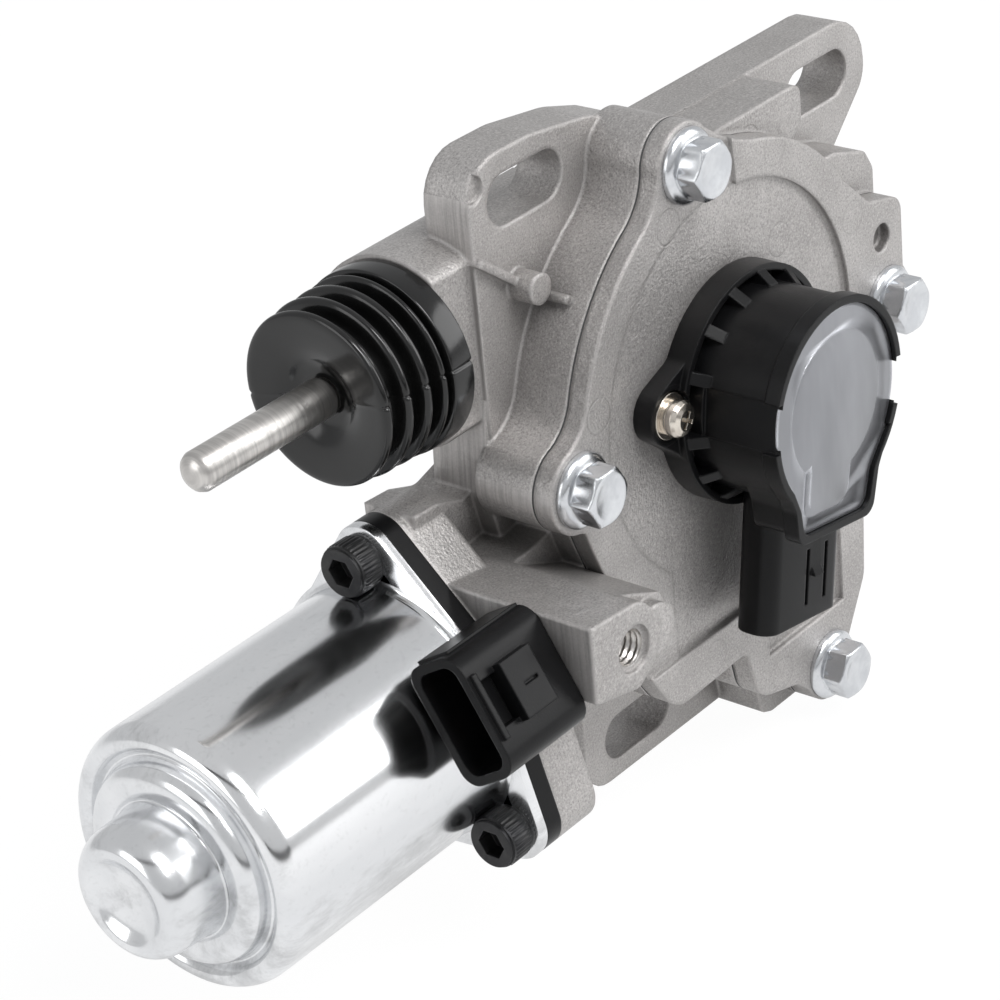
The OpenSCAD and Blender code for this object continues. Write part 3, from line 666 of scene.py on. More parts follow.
@dataclass
class Housing(Assembly):
    """The cast housing, its cover, gasket and bolts, and the threads of the stay hole."""

    # radius of the round flange, then the depths where cover, gasket, plate and drum end
    flange: float = 45.3
    cover: float = 4.8
    seam: float = 5.2
    plate: float = 17.0
    back: float = 27.0
    rear: float = 41.0
    # how far the cover's low side lies back, and radii outside and inside the gear chamber
    low: float = 0.9
    drum: float = 39.5
    chamber: float = 36.0
    bolts: tuple = ((-10.2, 46.4), (-47.0, -1.4), (25.1, -74.4), (50.8, -4.8))
    bosses: tuple = (8.0, 8.4, 7.6, 7.8)
    # webs beside the bosses: which boss, which side, and the radius of the hollow
    blends: tuple = ((0, 1, 12.0), (0, -1, 34.0), (1, 1, 8.5), (1, -1, 10.0))
    dowels: tuple = ((-28.4, 28.8), (34.5, -50.0))
    dowel_hole: float = 2.55
    slots: tuple = ((-35.5, 48.8), (54.5, 36.3), (-16.5, -71.0))
    slot_radius: float = 4.85
    slot_half: float = 5.65
    post: tuple = (-39.9, 32.2)
    # the threaded hole: place, depth of its mouth, and its thread
    hole: tuple = (-59.0, -22.2)
    mouth: float = -17.0
    pitch: float = 1.25
    turns: int = 10
    crest: float = 2.95
    root: float = 3.38
    # outlines as corners in x and z, each with its radius
    lobe: tuple = ((-47.5, -8, 0), (-44.6, -15.8, 8), (-42, -22, 6), (-39, -36, 10),
                   (-32, -48.6, 6), (-25.6, -58.2, 7), (-12, -58, 0), (-2, -57.6, 3),
                   (0.8, -69.8, 6), (14, -73.4, 3), (20, -79, 0), (31.8, -78, 0),
                   (32.2, -71.4, 2), (38.6, -60.4, 6), (39.3, -47.7, 0), (39.3, -20, 0))
    tab: tuple = ((34, 28.6, 0), (45.6, 18, 5), (56.7, 15.2, 4), (56.7, -4.8, 0), (50, -13, 0),
                  (40, -21, 0), (20, 0, 0))
    arms: tuple = ((-51, 3, 0), (-51, 58, 8.5), (-33, 57.8, 20), (-17, 55.4, 20),
                   (-7, 52.2, 8), (2, 46.4, 6), (71, 46.4, 10.5), (71, 32, 7), (58, 20, 6),
                   (52, 8, 0), (40, -24, 0), (0, -30, 0), (-40, -22, 0))
    lug: tuple = ((-45, -18, 0), (-31.5, -44, 6), (-34, -79.4, 7), (12, -79.8, 0), (27, -82, 5),
                  (32, -80, 3), (33.4, -73, 0), (39, -59.6, 0), (39.3, -20, 0))
    # rings of a flange bolt as radius and height, on each side of the head's chamfer
    crown: tuple = ((0.02, -6.35), (3.4, -6.35), (3.9, -6.6), (4.6, -6.6))
    skirt: tuple = ((5.0, -2.2), (5.1, -1.95), (6.0, -1.8), (6.7, -1.35), (7.05, -0.95),
                    (7.1, -0.7), (7.1, 0.0), (3.2, 0.02), (3.0, 0.1), (3.0, 12.0),
                    (0.02, 12.0))
    low_corner: tuple = ((6, -60, 0), (9, -72, 3), (10.7, -80.6, 1.6), (14, -81.9, 3),
                         (31.5, -82, 4), (33.4, -70, 0), (30, -60, 0))
    top_corner: tuple = ((38, 28, 0), (44, 27.6, 4), (54, 24.4, 3), (56.7, 20, 3),
                         (56.7, 8, 0), (44, 6, 0))
    band: tuple = ((0, 40, 0), (1, 46.1, 2), (33, 46.1, 2.6), (33, 38.4, 2), (28, 34, 0))
    stay: tuple = ((-70.3, -12.6, 0), (-58.6, -13.8, 6), (-54, -15.6, 6), (-44, -20, 0),
                   (-38, -22, 0), (-38, -33, 0), (-50, -33, 0), (-56, -32.4, 4),
                   (-70.3, -29.6, 0))
    face: tuple = ((-70.3, -12.6, 0), (-56, -13.8, 5), (-50.3, -20.6, 4), (-53, -27, 4),
                   (-58.4, -30.4, 3), (-70.3, -27.6, 0))

    def cloth(self) -> dict:
        """Finishes of the housing's nodes."""
        return {CAST: ("gear_housing", "gear_cover"), GASKET: ("cover_gasket",),
                ZINC: ("cover_bolts",), GROUND: ("locating_dowels", "thrust_pad"),
                RUBBER: ("shaft_seal",), BRONZE: ("worm_end_bearing", "wheel_front_bush",
                                                 "wheel_rear_bush", "front_bearing")}

    def web(self, boss: Sequence[float], radius: float, side: int, fill: float) -> np.ndarray:
        """The web that fills the hollow between the round flange and a boss.

        Its hollow edge is an arc of radius fill that touches both circles: its middle lies
        flange + fill from the axis and radius + fill from the boss.
        """
        b = np.array(boss)
        far, wide, near = np.linalg.norm(b), self.flange + fill, radius + fill
        away = math.acos((far ** 2 + wide ** 2 - near ** 2) / (2 * far * wide))
        base = math.atan2(b[1], b[0]) + side * away
        m = wide * np.array([math.cos(base), math.sin(base)])
        e = b - m
        turn = math.atan2(-m[0] * e[1] + m[1] * e[0], float(-m @ e))
        arc = [m + fill * np.array([math.cos(a), math.sin(a)])
               for a in math.atan2(-m[1], -m[0]) + turn * np.arange(1, 8) / 8]
        return np.array([0.9 * b, 0.6 * (m - fill * unit(m)), (self.flange - 0.15) * unit(m),
                         *arc, b + (radius - 0.15) * unit(m - b)])

    def outline(self, work: Solid, start: float, end: float) -> Solid:
        """The outline shared by cover, gasket and housing: flange, bosses, webs and lobes."""
        work.bar(self.flange, start, end)
        for spot, radius in zip(self.bolts, self.bosses):
            work.bar(radius, start, end, *spot)
        for index, side, fill in self.blends:
            work.prism(self.web(self.bolts[index], self.bosses[index], side, fill), start, end)
        return work.prism(self.lobe, start, end).prism(self.tab, start, end)

    def casting(self) -> Solid:
        """The housing's plates: shared outline, corners, bracket arms, lug and gear drum."""
        work = self.outline(Solid(), self.seam, self.plate + 1)
        for line, start, end in ((self.low_corner, self.seam + 1.8, self.back),
                                 (self.top_corner, self.seam + 1, self.back),
                                 (self.band, self.seam + 0.6, self.plate + 1),
                                 (self.arms, self.plate, self.back),
                                 (self.lug, self.plate, self.back)):
            work.prism(line, start, end)
        work.bar(self.flange - 0.3, self.plate, self.back)
        return work.bar(self.drum, self.back - 1, self.rear)

    def rod_boss(self, work: Solid) -> Solid:
        """The round boss of the push rod, cut flat in front, with its spigot."""
        front = self.plate + 1.2
        boss = disc(18.3, *ROD_AXIS)
        boss[:, 0] = np.maximum(boss[:, 0], front)
        work.prism(boss, -61, -36, Axis.X)
        work.block((-50, front + 0.4, 12.1), (40, 22.4, 26.4))
        return work.bar(12.2, -67, -60, *ROD_AXIS, Axis.X)

    def ears(self, work: Solid) -> Solid:
        """The worm chamber, and the webs that join it to the motor's ear and the bracket."""
        work.bar(12.6, -63, 36, *MOTOR_AXIS, Axis.X)
        work.bar(17.0, -64, -40, *MOTOR_AXIS, Axis.X)
        work.prism([(-68.5, -14, 0), (-68.5, -2.2, 0), (-62, -2.6, 3), (-55, -5, 4),
                    (-48, -3, 0), (-36, -4, 0), (-36, -30, 0)], 21.5, 33)
        work.prism([(-64.5, -28), (-64.5, -14.6), (-50, -13.6), (-40, -12), (-36, -24),
                    (-42, -30)], 10, 30)
        return work.prism([(-38, 14, 0), (-51.4, 14, 0), (-52.8, -5, 3), (-50.6, -14, 3),
                           (-40, -24, 0)], self.plate + 0.4, 30)

    def side_block(self, work: Solid) -> Solid:
        """The block with the threaded hole, cut back where the cover lies before it."""
        work.prism(self.face, -18, 16).bar(5, -15, 16, -48.4, -24.6)
        work.prism(self.stay, -12, 16).bar(self.flange + 0.6, -19, self.seam, cut=True)
        return work.prism(rounded(self.lobe) - (0.6, 0.0), -19, self.seam, cut=True)

    def pin(self, work: Solid) -> Solid:
        """The ribbed pin on the bracket's face."""
        rib = rotated(oblong((-14, -0.8), (-1, 0.8)), 37.5, 1, 0) + self.post
        work.bar(2.9, 11.7, 18, *self.post).prism(rib, 15.2, 18)
        return work.bar(0.9, 8.8, 18, -36, 29.1)

    def cavities(self, work: Solid) -> Solid:
        """Cuts the gear chamber, bores, slots and holes, and leaves the rear hub standing."""
        work.bar(self.chamber, self.seam - 1, self.rear - 3.5, cut=True)
        work.block((-22, 22.4, 15), (38, 12, 19), cut=True)
        work.bar(12, 33, self.rear - 3).bar(8, 30, self.rear - 1.2, cut=True)
        work.prism(oblong((-20, -46), (28.5, 0)), self.seam - 1, 14, cut=True)
        work.bar(9.25, -71, 31, *MOTOR_AXIS, Axis.X, cut=True)
        work.bar(6.2, -68, -20, *ROD_AXIS, Axis.X, cut=True)
        for x, z in self.slots:
            right, left = (disc(self.slot_radius, x + s * self.slot_half, z) for s in (1, -1))
            work.prism(np.concatenate([right[54:], right[:19], left[18:55]]), 11, 28, cut=True)
        work.holes(3.05, self.seam - 1, 20, *self.bolts)
        work.holes(self.dowel_hole, self.seam - 1, 11, *self.dowels)
        work.holes(3.4, -19, -2, self.hole).holes(4.5, -19, self.mouth, self.hole)
        return work.holes(2.6, 15.4, 18, (-49.2, 53.4))

    def lid(self) -> Solid:
        """The cover, with its round recess, low left side, bolt holes and blind hole."""
        work = self.outline(Solid(), 0, self.cover)
        for shape in (disc(38), oblong((-22.5, -48.5), (31, -0.5)),
                      oblong((5, -62.5), (31, -42.5))):
            work.prism(shape, -1, 1.2, cut=True)
        work.prism([(1.6, 60), (3.4, 38.2), (0, 20), (-14, -48.5), (-62, -48.5), (-62, 60)],
                   -1, self.low, cut=True)
        work.holes(3.3, -1, 6, *self.bolts).holes(self.dowel_hole, 1.8, 6, *self.dowels)
        return work.holes(11.4, -1, 6, (0, 0)).holes(2.9, -1, 2.4, (49.6, 9))

    def build(self) -> None:
        """Builds housing, cover, gasket, dowels, threads and bolts."""
        motor = Motor()
        work = self.pin(self.side_block(self.ears(self.rod_boss(self.casting()))))
        work.within(motor.placed).prism(motor.rim(), 6, 16, Axis.X)
        self.solid(self.cavities(work.within()), "housing_casting", CAST, "cast_aluminium",
                   "gear_housing")
        self.solid(self.lid(), "cover_casting", CAST, "cast_aluminium", "gear_cover")
        sheet = self.outline(Solid(), self.cover, self.seam).bar(self.chamber, 0, 10, cut=True)
        self.solid(sheet, "gasket_sheet", GASKET, "gasket_grey", "cover_gasket")
        pins = Solid()
        for spot in self.dowels:
            pins.bar(2.5, 2, 10.8, *spot)
        self.solid(pins, "dowel_pins", GROUND, "stainless", "locating_dowels")
        self.threads()
        for index in range(len(self.bolts)):
            bolt = self.bolt(index)
            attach(bolt, self.body)
            if index == 0:
                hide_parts("cover_bolts")

    def bolt(self, index: int) -> bpy.types.Object:
        """A flange bolt's head, as rings from the middle of its end down to its flange.

        A ring of the hexagon has the radius 5 / cos(a - 30) for a angle a within 60 degrees,
        or that of the chamfer cone, 4.75 + 1.9 d at depth d, where that is less.
        """
        turn = angles(120) + 0.2
        hexagon = 5.0 / np.cos(np.mod(turn, np.pi / 3) - np.pi / 6)
        rings = [(r + 0 * turn, y) for r, y in self.crown]
        rings += [(np.minimum(hexagon, 4.75 + 1.9 * depth), depth - 6.6)
                  for depth in (0.05, 0.2, 0.35, 0.5, 0.62)]
        rings += [(hexagon if y == -2.2 else r + 0 * turn, y) for r, y in self.skirt]
        radius, height = zip(*rings)
        seat = self.low if index < 2 else 0.0
        points = spun(Axis.Y, self.bolts[index], seat + np.array(height)[:, None],
                      np.concatenate(radius), turn)
        return self.grid(f"flange_bolt_{index + 1}", points, ZINC, "zinc_steel")

    def threads(self) -> None:
        """Cuts the thread that shows in the stay hole.

        At depth d and angle a round the hole the radius is root - (root - crest) * v, where
        v is 1 - |2 f - 1| and f is the part of a turn left over from d / pitch - a / 2 pi.
        """
        turn = angles(72)
        depth = np.linspace(0.0, self.pitch * self.turns, self.turns * 12 + 1)[:, None]
        left = (depth / self.pitch - turn / (2 * np.pi)) % 1.0
        radius = self.root - (self.root - self.crest) * (1 - np.abs(2 * left - 1))
        fade = np.clip(depth / (0.7 * self.pitch), 0.0, 1.0)
        radius = radius * fade + self.root * (1 - fade)
        points = spun(Axis.Y, self.hole, self.mouth + depth, radius, turn)
        threads = self.grid("stay_threads", points[:, ::-1], GROUND, "cast_aluminium",
                            outward=False)
        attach(threads, self.body)


@dataclass
class Motor(Assembly):
    """The motor: can, end plate with its plug, screws, magnets and armature."""

    flange_x: float = -76.5
    tilt: float = -31.1
    screws: tuple = ((-12.7, 27.4), (-12.7, -27.4), (30.2, 0.0))
    ear: float = 6.4
    # rings of the flange's rim as x from its front and how far they lie inside its outline
    lip: tuple = ((0.0, 6.0), (0.0, 0.45), (0.12, 0.15), (0.4, 0.0), (2.0, 0.0), (2.0, 6.0))
    # half section of the can as radius and x, in mm, from the flange to the dish of its end cup
    can: tuple = (
        (26.6, 0.0), (25.9, -0.25), (25.4, -0.9), (25.2, -2.0), (25.2, -8), (25.2, -20),
        (25.2, -34), (25.2, -46), (25.2, -52.0), (25.1, -53.8), (24.6, -55.2), (23.8, -56.2),
        (22.7, -56.7), (21.7, -56.5), (20.9, -55.8), (20.3, -55.0), (19.8, -54.8), (19.3, -55.3),
        (19.1, -56.4), (18.8, -57.6), (18.0, -58.6), (16.6, -59.2), (15.1, -59.3), (13.9, -59.0),
        (13.2, -58.6), (12.8, -58.9), (12.6, -60.0), (12.5, -62.0), (12.4, -64.5), (12.3, -66.3),
        (11.9, -67.8), (11.0, -69.3), (9.9, -70.1), (8.9, -70.2), (8.1, -69.9), (7.2, -69.3),
        (6.1, -68.7), (4.5, -68.2), (2.4, -68.0), (0.02, -67.95))
    # the screws' heads: ends along x, radius, and teeth of the knurl
    head: tuple = (-5.0, -0.6)
    radius: float = 4.9
    teeth: int = 36

    def cloth(self) -> dict:
        """Finishes of the motor's nodes."""
        return {BRIGHT: ("motor_can",), PLASTIC: ("brush_card",),
                BLACK_STEEL: ("motor_screws",), SHEET: ("brush_springs",),
                GROUND: ("motor_shaft", "worm"), BRONZE: ("can_bearing",),
                COPPER: ("armature_windings", "commutator", "power_terminals"),
                FERRITE: ("field_magnets",), CARBON: ("carbon_brushes",),
                CORE: ("armature_core",)}

    def placed(self, points: np.ndarray) -> np.ndarray:
        """Turns points of the motor's own frame into the modelling frame."""
        return rotated(points, self.tilt, 1, 2) + (self.flange_x, *MOTOR_AXIS)

    def build(self) -> None:
        """Makes the can, its flange and the knurls of the screws."""
        self.plug()
        shell = self.shell()
        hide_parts("motor_can")
        for piece in (shell, self.flange(), *self.knurls()):
            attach(piece, self.body)

    def shell(self) -> bpy.types.Object:
        """Spins the can's smooth section round the motor's axis."""
        section = open_curve(np.array(self.can), 4)
        points = spun(Axis.X, (0, 0), section[:, 1:], section[:, :1], angles(160))
        return self.grid("can_shell", self.placed(points), BRIGHT, "bright_zinc")

    def rim(self) -> np.ndarray:
        """The flange's outline: the smallest bulging line round the can and its three ears."""
        spots = [(25.6, 0.0, 0.0)] + [(self.ear, n, t) for n, t in self.screws]
        dots = np.concatenate([disc(*spot) for spot in spots])
        return dots[geometry.convex_hull_2d([tuple(d) for d in dots])]

    def plug(self) -> None:
        """Moulds the end plate with its plug shell, lock tab and latch window."""
        out = 39.3
        card = Solid(self.placed)
        card.prism(self.rim(), 2, 6, Axis.X)
        card.block((2, 1.8 - out, -13), (4, 16, 21))
        shell = [(-out, -14.3, 4), (13.2 - out, -14.3, 3.4), (13.2 - out, 9, 3.4),
                 (-out, 9, 4)]
        card.prism(shell, -15, 6, Axis.X)
        card.block((-13, 3.2 - out, 4), (18.9, 8.2, 5.4))
        card.prism(oblong((-8.6, -7.4), (-0.6, 3.4)), -out - 2, -out + 1)
        card.prism(oblong((-14.2, -8.2), (-13, 4.2)), -out - 0.8, -out + 1)
        mouth = [(-out + 1.7, -12.6, 2.6), (-out + 11.3, -12.6, 2.4), (-out + 11.3, 7.3, 2.4),
                 (-out + 1.7, 7.3, 2.6)]
        card.prism(mouth, -16, 0, Axis.X, cut=True)
        card.block((-12.4, -out - 1, -6.4), (3.8, 2.6, 8.8), cut=True)
        card.block((-5.6, -out - 2.4, -2.3), (3.4, 1, 0.6), cut=True)
        card.bar(5.6, -14, 7, axis=Axis.X, cut=True)
        self.solid(card, "motor_end_plate", PLASTIC, "black_plastic", "brush_card")

    def flange(self) -> bpy.types.Object:
        """Makes the can's flange: a plate round the can with three ears, its rim rounded."""
        rim = self.rim()
        centre = rim.mean(axis=0)
        away = rim - centre
        length = np.linalg.norm(away, axis=1, keepdims=True)
        rings = [np.insert(centre + away * (1 - inset / length), 0, x, axis=1)
                 for x, inset in self.lip]
        return self.grid("can_flange", self.placed(np.array(rings)), BRIGHT, "bright_zinc")

    def knurls(self) -> list:
        """Knurls the heads of the three screws: radius + 0.12 sin(teeth * angle)."""
        turn = angles(self.teeth * 6)
        start, end = self.head
        along = np.array([start, start + 0.3, end - 0.3, end])[:, None]
        rise = np.array([-0.08, 1.0, 1.0, -0.08])[:, None]
        radius = self.radius + rise * (0.10 + 0.12 * np.sin(self.teeth * turn))
        return [self.grid(f"screw_knurl_{index + 1}",
                          self.placed(spun(Axis.X, spot, along, radius, turn))[:, ::-1],
                          BLACK_STEEL, "black_steel")
                for index, spot in enumerate(self.screws)]


@dataclass
class Rod(Assembly):
    """The push rod, its yoke and guide, and the rubber boot that seals it."""

    tip: float = -114.0
    seam: float = 172.0
    groove: float = 0.35
    radius: float = 3.7
    # x where the boot starts to follow the rod, and where it moves with it
    fixed: float = -67.0
    led: float = -80.3
    # half section of the boot as radius and x, in mm, from the collar round the outside
    profile: tuple = (
        (13, -61.05), (17, -61.05), (17.6, -61.7), (17.6, -65.6), (17.1, -66.3), (14.6, -66.7),
        (14.7, -67.1), (16.7, -67.4), (17.2, -67.9), (16.8, -68.5), (14.1, -69.3),
        (13.9, -70.6), (16.5, -71.4), (17, -72.1), (16.5, -72.9), (13.7, -73.8),
        (13.6, -75.3), (16.2, -76.1), (16.8, -76.8), (16.3, -77.6), (13.6, -78.4),
        (13.5, -80), (15.4, -80.7), (16.2, -81.4), (16, -82.2), (15, -82.5), (13, -82.35),
        (11, -82.1), (9.2, -81.75), (7.6, -81.2), (6.4, -80.6), (5.2, -80.2), (3.9, -80.1),
        (3.25, -79.9), (3.25, -78.1), (4.2, -77.9), (6.4, -78.8), (8.8, -80.3), (11.8, -80.6),
        (12, -77.9), (15.1, -76.8), (12.1, -75.5), (12.2, -73.5), (15.4, -72.1),
        (12.4, -70.8), (12.6, -69.4), (15.6, -67.9), (13, -67.3), (12.9, -64))

    def cloth(self) -> dict:
        """Finishes of the rod's nodes."""
        return {GROUND: ("push_rod",), ZINC: ("rod_yoke",), BRONZE: ("rod_guide_bush",),
                RUBBER: ("rod_seal", "rubber_boot")}

    def build(self) -> None:
        """Turns the rod, and the boot's section round it with a mould seam on both sides.

        The seam lowers the radius by g exp(-(w / g)^2), where g is the groove's depth and w
        the distance round the boot from the seam's line, in mm.
        """
        tip, r = self.tip, self.radius
        line = np.array([(0.02, tip), (1.4, tip + 0.2), (2.5, tip + 0.7), (3.3, tip + 1.4),
                         (r, tip + 2.3), (r, -95.0), (r, -81.0), (3.1, -80.6), (3.1, -77.6),
                         (r, -77.2), (r, -5.0), (0.02, -5.0)])
        bar = spun(Axis.X, ROD_AXIS, line[:, 1:], line[:, :1], angles(96))
        rod = self.grid("rod_bar", bar, GROUND, "stainless")
        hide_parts("push_rod")
        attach(rod, "rod")
        section = smooth_loop(np.array(self.profile), 5)
        near = np.arange(-2.8, 2.9, 0.4)
        seams = (self.seam, self.seam - 180)
        turn = np.concatenate([np.arange(0, 360, 3.0), *(seam + near for seam in seams)])
        turn = np.unique(np.round(np.radians(turn) % (2 * np.pi), 5))[None, :]
        radius = section[:, :1] + 0 * turn
        for seam in seams:
            off = (turn - math.radians(seam) + np.pi) % (2 * np.pi) - np.pi
            dip = self.groove * np.exp(-(off * section[:, :1] / self.groove) ** 2)
            radius = radius - dip * (section[:, :1] > 8)
        points = spun(Axis.X, ROD_AXIS, section[:, 1:], radius, turn)
        boot = self.grid("boot_skin", points, RUBBER, "black_rubber", (True, True))
        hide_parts("rubber_boot")
        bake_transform(boot)


@dataclass
class Gears(Assembly):
    """The sector gear, its shaft and the crank that drives the rod."""

    def cloth(self) -> dict:
        """Finishes of the gears' nodes."""
        return {NATURAL: ("sector_gear",), ZINC: ("crank_arm",),
                GROUND: ("wheel_shaft", "crank_pin", "crank_roller")}


@dataclass
class Sensor(Assembly):
    """The angle sensor on the cover: body, lid, plug, board, rotor and screws."""

    def cloth(self) -> dict:
        """Finishes of the sensor's nodes."""
        return {PLASTIC: ("sensor_body", "sensor_rotor"), SHEET: ("sensor_lid",),
                NICKEL: ("sensor_screws", "sensor_spring_washers", "sensor_flat_washers"),
                COPPER: ("sensor_terminals",), BOARD: ("sensor_board",),
                FERRITE: ("rotor_magnet",), RUBBER: ("sensor_o_ring",)}

    # turn about Y in degrees, depth of the front, radii of flange and barrel, screws' offset
    turned: float = 9.5
    front: float = -22.6
    flange: float = 22.8
    barrel: float = 19.6
    screw: float = 25.0
    tail: tuple = ((-16.6, -10.6, 0), (-12.4, -17.6, 4), (-10.8, -24.6, 3), (13.4, -24.6, 3),
                   (14.6, -15.6, 4), (18, -8, 0))

    def placed(self, points: np.ndarray) -> np.ndarray:
        """Turns points of the sensor's own frame about Y into the modelling frame."""
        return rotated(points, self.turned, 2, 0)

    def tail_line(self, inset: float) -> np.ndarray:
        """The lower part of the key-hole outline, made smaller all round by inset."""
        x, z, r = np.array(self.tail).T
        x = x + inset * np.array([1, 1, 1, -1, -1, 0])
        z = z + inset * np.array([0, 0, 1, 1, 0, 0])
        return rounded(list(zip(x, z, r)))

    def rib(self, work: Solid, angle: float) -> None:
        """One bracing rib between the barrel and the raised ring, at an angle in degrees."""
        work.within(lambda points: self.placed(rotated(points, angle, 2, 0)))
        work.prism([(18.3, -1.1), (self.flange - 0.8, -1.1), (self.flange - 0.8, -4.1),
                    (self.barrel + 0.2, -7.2), (18.3, -7.2)], -1.2, 1.2, Axis.Z)
        work.within(self.placed)

    def shell(self) -> Solid:
        """The sensor's housing: ring with ribs, ears, barrel, key-hole rim and plug."""
        work = Solid(self.placed)
        work.bar(self.flange, -4.2, 1.2).bar(self.flange - 1.4, -5, -1.4, cut=True)
        work.bar(self.barrel, self.front + 1, -1)
        for side in (0, 180):
            for index in range(-3, 4):
                self.rib(work, side + 90 + index * 24.4)
        for s in (-1, 1):
            work.bar(5.7, -2.9, 1.2, s * self.screw, 0)
            ear = [(17, -12.6), (self.flange - 0.9, -8.2), (self.screw + 2.9, -4.9),
                   (self.screw + 2.9, 4.9), (self.flange - 0.9, 8.2), (17, 12.6)]
            work.prism(np.array(ear) * (s, 1), -2.8, 1.2)
        work.bar(self.barrel + 0.9, self.front, self.front + 3.2)
        work.prism(self.tail_line(0), self.front, self.front + 3.2)
        work.prism(self.tail_line(0.9), self.front + 3, -12)
        plug = [(-4.6, -12.6, 3.6), (19, -12.6, 2.6), (19, -3.9, 2.6), (-4.6, -3.9, 3.6)]
        work.prism(plug, -47.4, -13.4, Axis.Z)
        work.prism([(-12, -35.5), (-13.5, -38.6), (-12, -38.6)], 9, 12, Axis.X)
        for x in (7.1, 13.1):
            work.block((x, -13.4, -44.2), (1, 1.5, 11.4), cut=True)
        work.bar(self.barrel - 0.6, self.front - 1, self.front + 1.2, cut=True)
        work.prism(self.tail_line(1.5), self.front - 1, self.front + 1.2, cut=True)
        work.bar(self.barrel - 2.2, -21.8, -12.6, cut=True).bar(11.2, -11, 2, cut=True)
        for s in (-1, 1):
            work.bar(4.7, -10, -2.2, s * self.screw, 0, cut=True)
            work.bar(2.3, -4.5, 2, s * self.screw, 0, cut=True)
            work.block((s * 21.3 - 2.7, -26, -4.7), (5.4, 20, 9.4), cut=True)
        hollow = [(-3.3, -11.3, 2.3), (17.7, -11.3, 1.3), (17.7, -5.2, 1.3), (-3.3, -5.2, 2.3)]
        return work.prism(hollow, -48.4, -32.4, Axis.Z, cut=True)

    def sheet(self) -> Solid:
        """The sheet lid with its raised key-hole panel, whose sides slope."""
        work = Solid(self.placed)
        work.bar(self.barrel - 0.75, self.front + 0.9, self.front + 1.18)
        work.prism(self.tail_line(1.65), self.front + 0.9, self.front + 1.18)
        work.prism(disc(14.4), self.front + 1.0, self.front + 0.03, taper=0.86)
        panel = [(-8.6, -3, 0), (-9, -20.4, 3), (4.6, -20.4, 3), (5.8, -3, 0)]
        return work.prism(panel, self.front + 1.0, self.front + 0.04, taper=0.93)

    def build(self) -> None:
        """Builds the sensor's housing, lid and pins."""
        self.solid(self.shell(), "sensor_shell", PLASTIC, "black_plastic", "sensor_body")
        self.solid(self.sheet(), "sensor_sheet", SHEET, "bare_aluminium", "sensor_lid")
        pins = Solid(self.placed)
        for x in (2.2, 7.2, 12.2):
            pins.block((x - 0.4, -8.65, -41), (0.8, 0.8, 15.6))
        self.solid(pins, "sensor_pins", COPPER, "copper_alloy", "sensor_terminals")


def rays(tree: Tree) -> list:
    """Whether a ray comes from the camera, and whether from a glossy surface."""
    return [tree.node("ShaderNodeLightPath", {}, {}, f"Is {kind} Ray")
            for kind in ("Camera", "Glossy")]


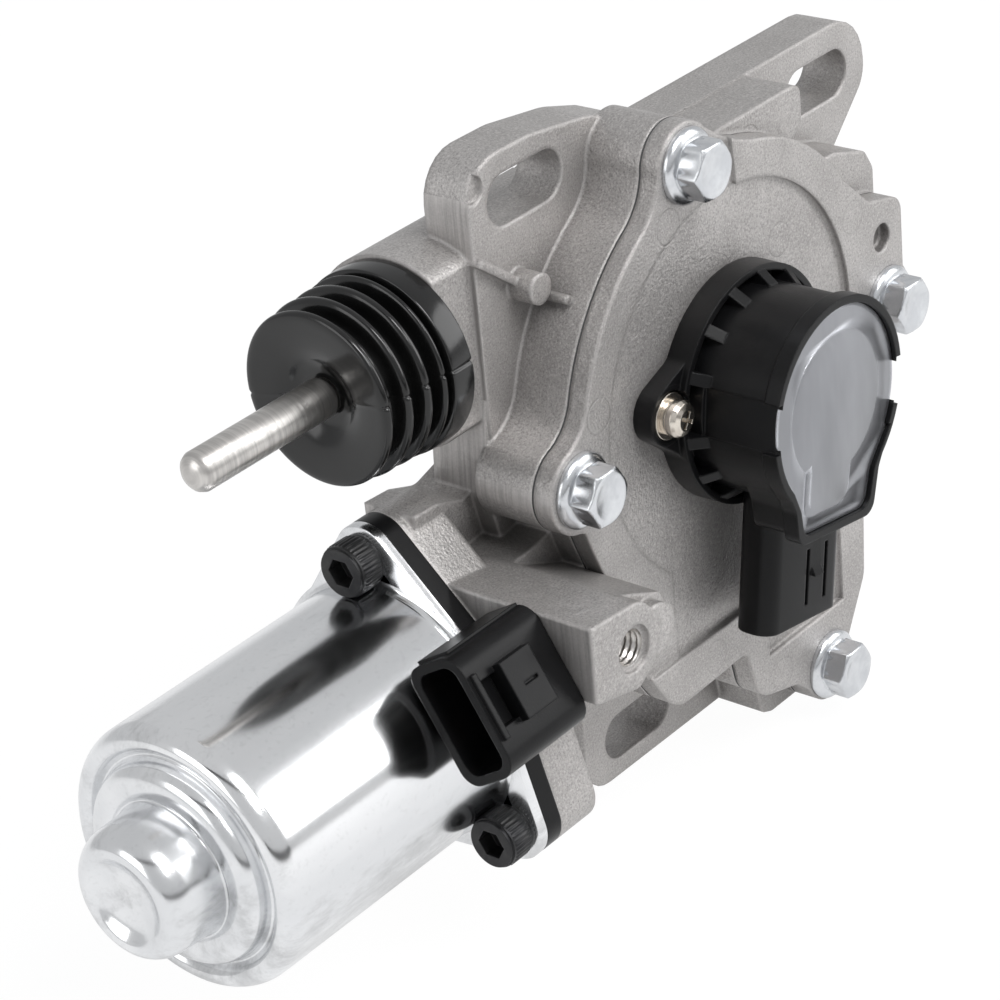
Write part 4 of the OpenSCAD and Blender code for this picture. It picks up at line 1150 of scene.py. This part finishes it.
@dataclass
class Studio:
    """Camera, lamps, floor and white surroundings."""

    place: tuple = (-0.4426, -0.3547, 0.2272)
    azimuth: float = 41.307
    elevation: float = 27.797
    roll: float = -5.814
    lens: float = 118.8
    floor: float = -0.1275
    aim: tuple = (-0.01, -0.01, -0.04)
    # each lamp's name, place, side and power, and each card's name, place and sides
    lamps: tuple = (("key", (-0.05, -0.95, 1.2), 0.8, 20.0), ("fill", (-1.2, 0.3, 0.4), 0.7, 3.0),
                    ("side", (0.9, -0.9, 0.5), 0.8, 6.0))
    cards: tuple = (("card_low", (-0.35, -1.15, -0.03), 2.4, 0.14),
                    ("card_high", (-0.55, -0.55, 0.95), 2.0, 0.16))

    def camera(self) -> None:
        """Puts the camera where the photograph was taken.

        It looks along X, turned up by the elevation and round Z by the azimuth, and is then
        rolled about its own view axis.
        """
        az, el, roll = (math.radians(v) for v in (self.azimuth, self.elevation, self.roll))
        quarter = math.pi / 2
        matrix = Matrix.Translation(self.place)
        for angle, axis in ((az - quarter, "Z"), (quarter - el, "X"), (roll, "Z")):
            matrix = matrix @ Matrix.Rotation(angle, 4, axis)
        data = bpy.data.cameras.new("camera")
        data.lens, data.sensor_width, data.sensor_fit = self.lens, 36.0, "HORIZONTAL"
        data.clip_start, data.clip_end = 0.01, 20.0
        made = linked("camera", data)
        made.matrix_world = matrix
        bpy.context.scene.camera = made

    def point(self, made: bpy.types.Object, spot: Sequence[float], axis: str) -> None:
        """Puts an object in its place with one of its axes toward the part."""
        made.location = spot
        made.rotation_euler = (Vector(self.aim) - Vector(spot)).to_track_quat(
            axis, "Y").to_euler()

    def lamp(self, name: str, spot: Sequence[float], size: float, power: float) -> None:
        """Adds one square soft light that points at the part."""
        data = bpy.data.lights.new(name, "AREA")
        data.shape, data.size, data.energy = "SQUARE", size, power
        self.point(linked(name, data), spot, "-Z")

    def plane(self, name: str, wide: float, high: float, level: float,
              tone: float) -> tuple[bpy.types.Object, Graph]:
        """Adds one matt rectangle as staging.

        Returns:
            The object, and its material's graph.
        """
        mesh = bpy.data.meshes.new(name)
        corners = oblong((-wide / 2, -high / 2), (wide / 2, high / 2))
        mesh.from_pydata([(*corner, level) for corner in corners], [], [(0, 1, 2, 3)])
        graph = Graph(f"{name}_matt")
        graph.feed(Base_Color=(tone, tone, tone, 1.0), Roughness=0.9)
        mesh.materials.append(graph.material)
        made = linked(name, mesh)
        return made, graph

    def backdrop(self) -> None:
        """A wide pale floor that shows white to the camera and keeps a soft shadow."""
        _, graph = self.plane("floor", 12.0, 12.0, self.floor, 0.9)
        ray, shine = rays(graph)
        glow = graph.node("ShaderNodeEmission", {}, {"Color": (1.0, 1.0, 1.0, 1.0),
                                                     "Strength": 1.02})
        lit = Wire(graph, graph.shader.outputs[0])
        seen = graph.node("ShaderNodeMixShader", {}, [(ray * 0.95).high(shine * 0.5), lit, glow])
        graph.tree.links.new(seen.socket, graph.tree.nodes["Material Output"].inputs[0])

    def card(self, name: str, spot: Sequence[float], wide: float, high: float) -> None:
        """Stands a black card out of view, for its streak in the bright metal."""
        made, _ = self.plane(name, wide, high, 0.0, 0.01)
        self.point(made, spot, "Z")
        made.visible_camera = made.visible_shadow = False

    def world(self) -> None:
        """A world that is white to the camera, partly so to bright metal, and softer else."""
        world = bpy.data.worlds.new("world")
        bpy.context.scene.world = world
        world.use_nodes = True
        tree = Tree(world.node_tree)
        ray, shine = rays(tree)
        lit, seen = (tree.node("ShaderNodeBackground", {}, [colour, strength])
                     for colour, strength in (((0.9, 0.92, 0.95, 1.0), 0.40),
                                              ((1.0, 1.0, 1.0, 1.0), 1.0)))
        share = tree.node("ShaderNodeMath", {"operation": "MULTIPLY_ADD", "use_clamp": True},
                          [shine, 0.4, ray])
        tree.end("ShaderNodeOutputWorld",
                 tree.node("ShaderNodeMixShader", {}, [share, lit, seen]))

    def build(self) -> None:
        """Sets the view, the surroundings, the lamps and the cards."""
        bpy.context.scene.view_settings.view_transform = "Standard"
        self.camera()
        self.backdrop()
        self.world()
        for lamp in self.lamps:
            self.lamp(*lamp)
        for card in self.cards:
            self.card(*card)


def main() -> None:
    """Builds the scene: studio, finishes and pieces."""
    logging.basicConfig(level=logging.INFO, format="%(name)s: %(message)s")
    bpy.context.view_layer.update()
    Studio().build()
    count = 0
    for group in (Housing(), Motor(), Rod(), Gears(), Sensor()):
        count += group.dress()
        group.build()
    bpy.context.view_layer.update()
    LOG.info("nodes dressed: %d of %d", count, len(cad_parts))


if __name__ == "__main__":
    main()
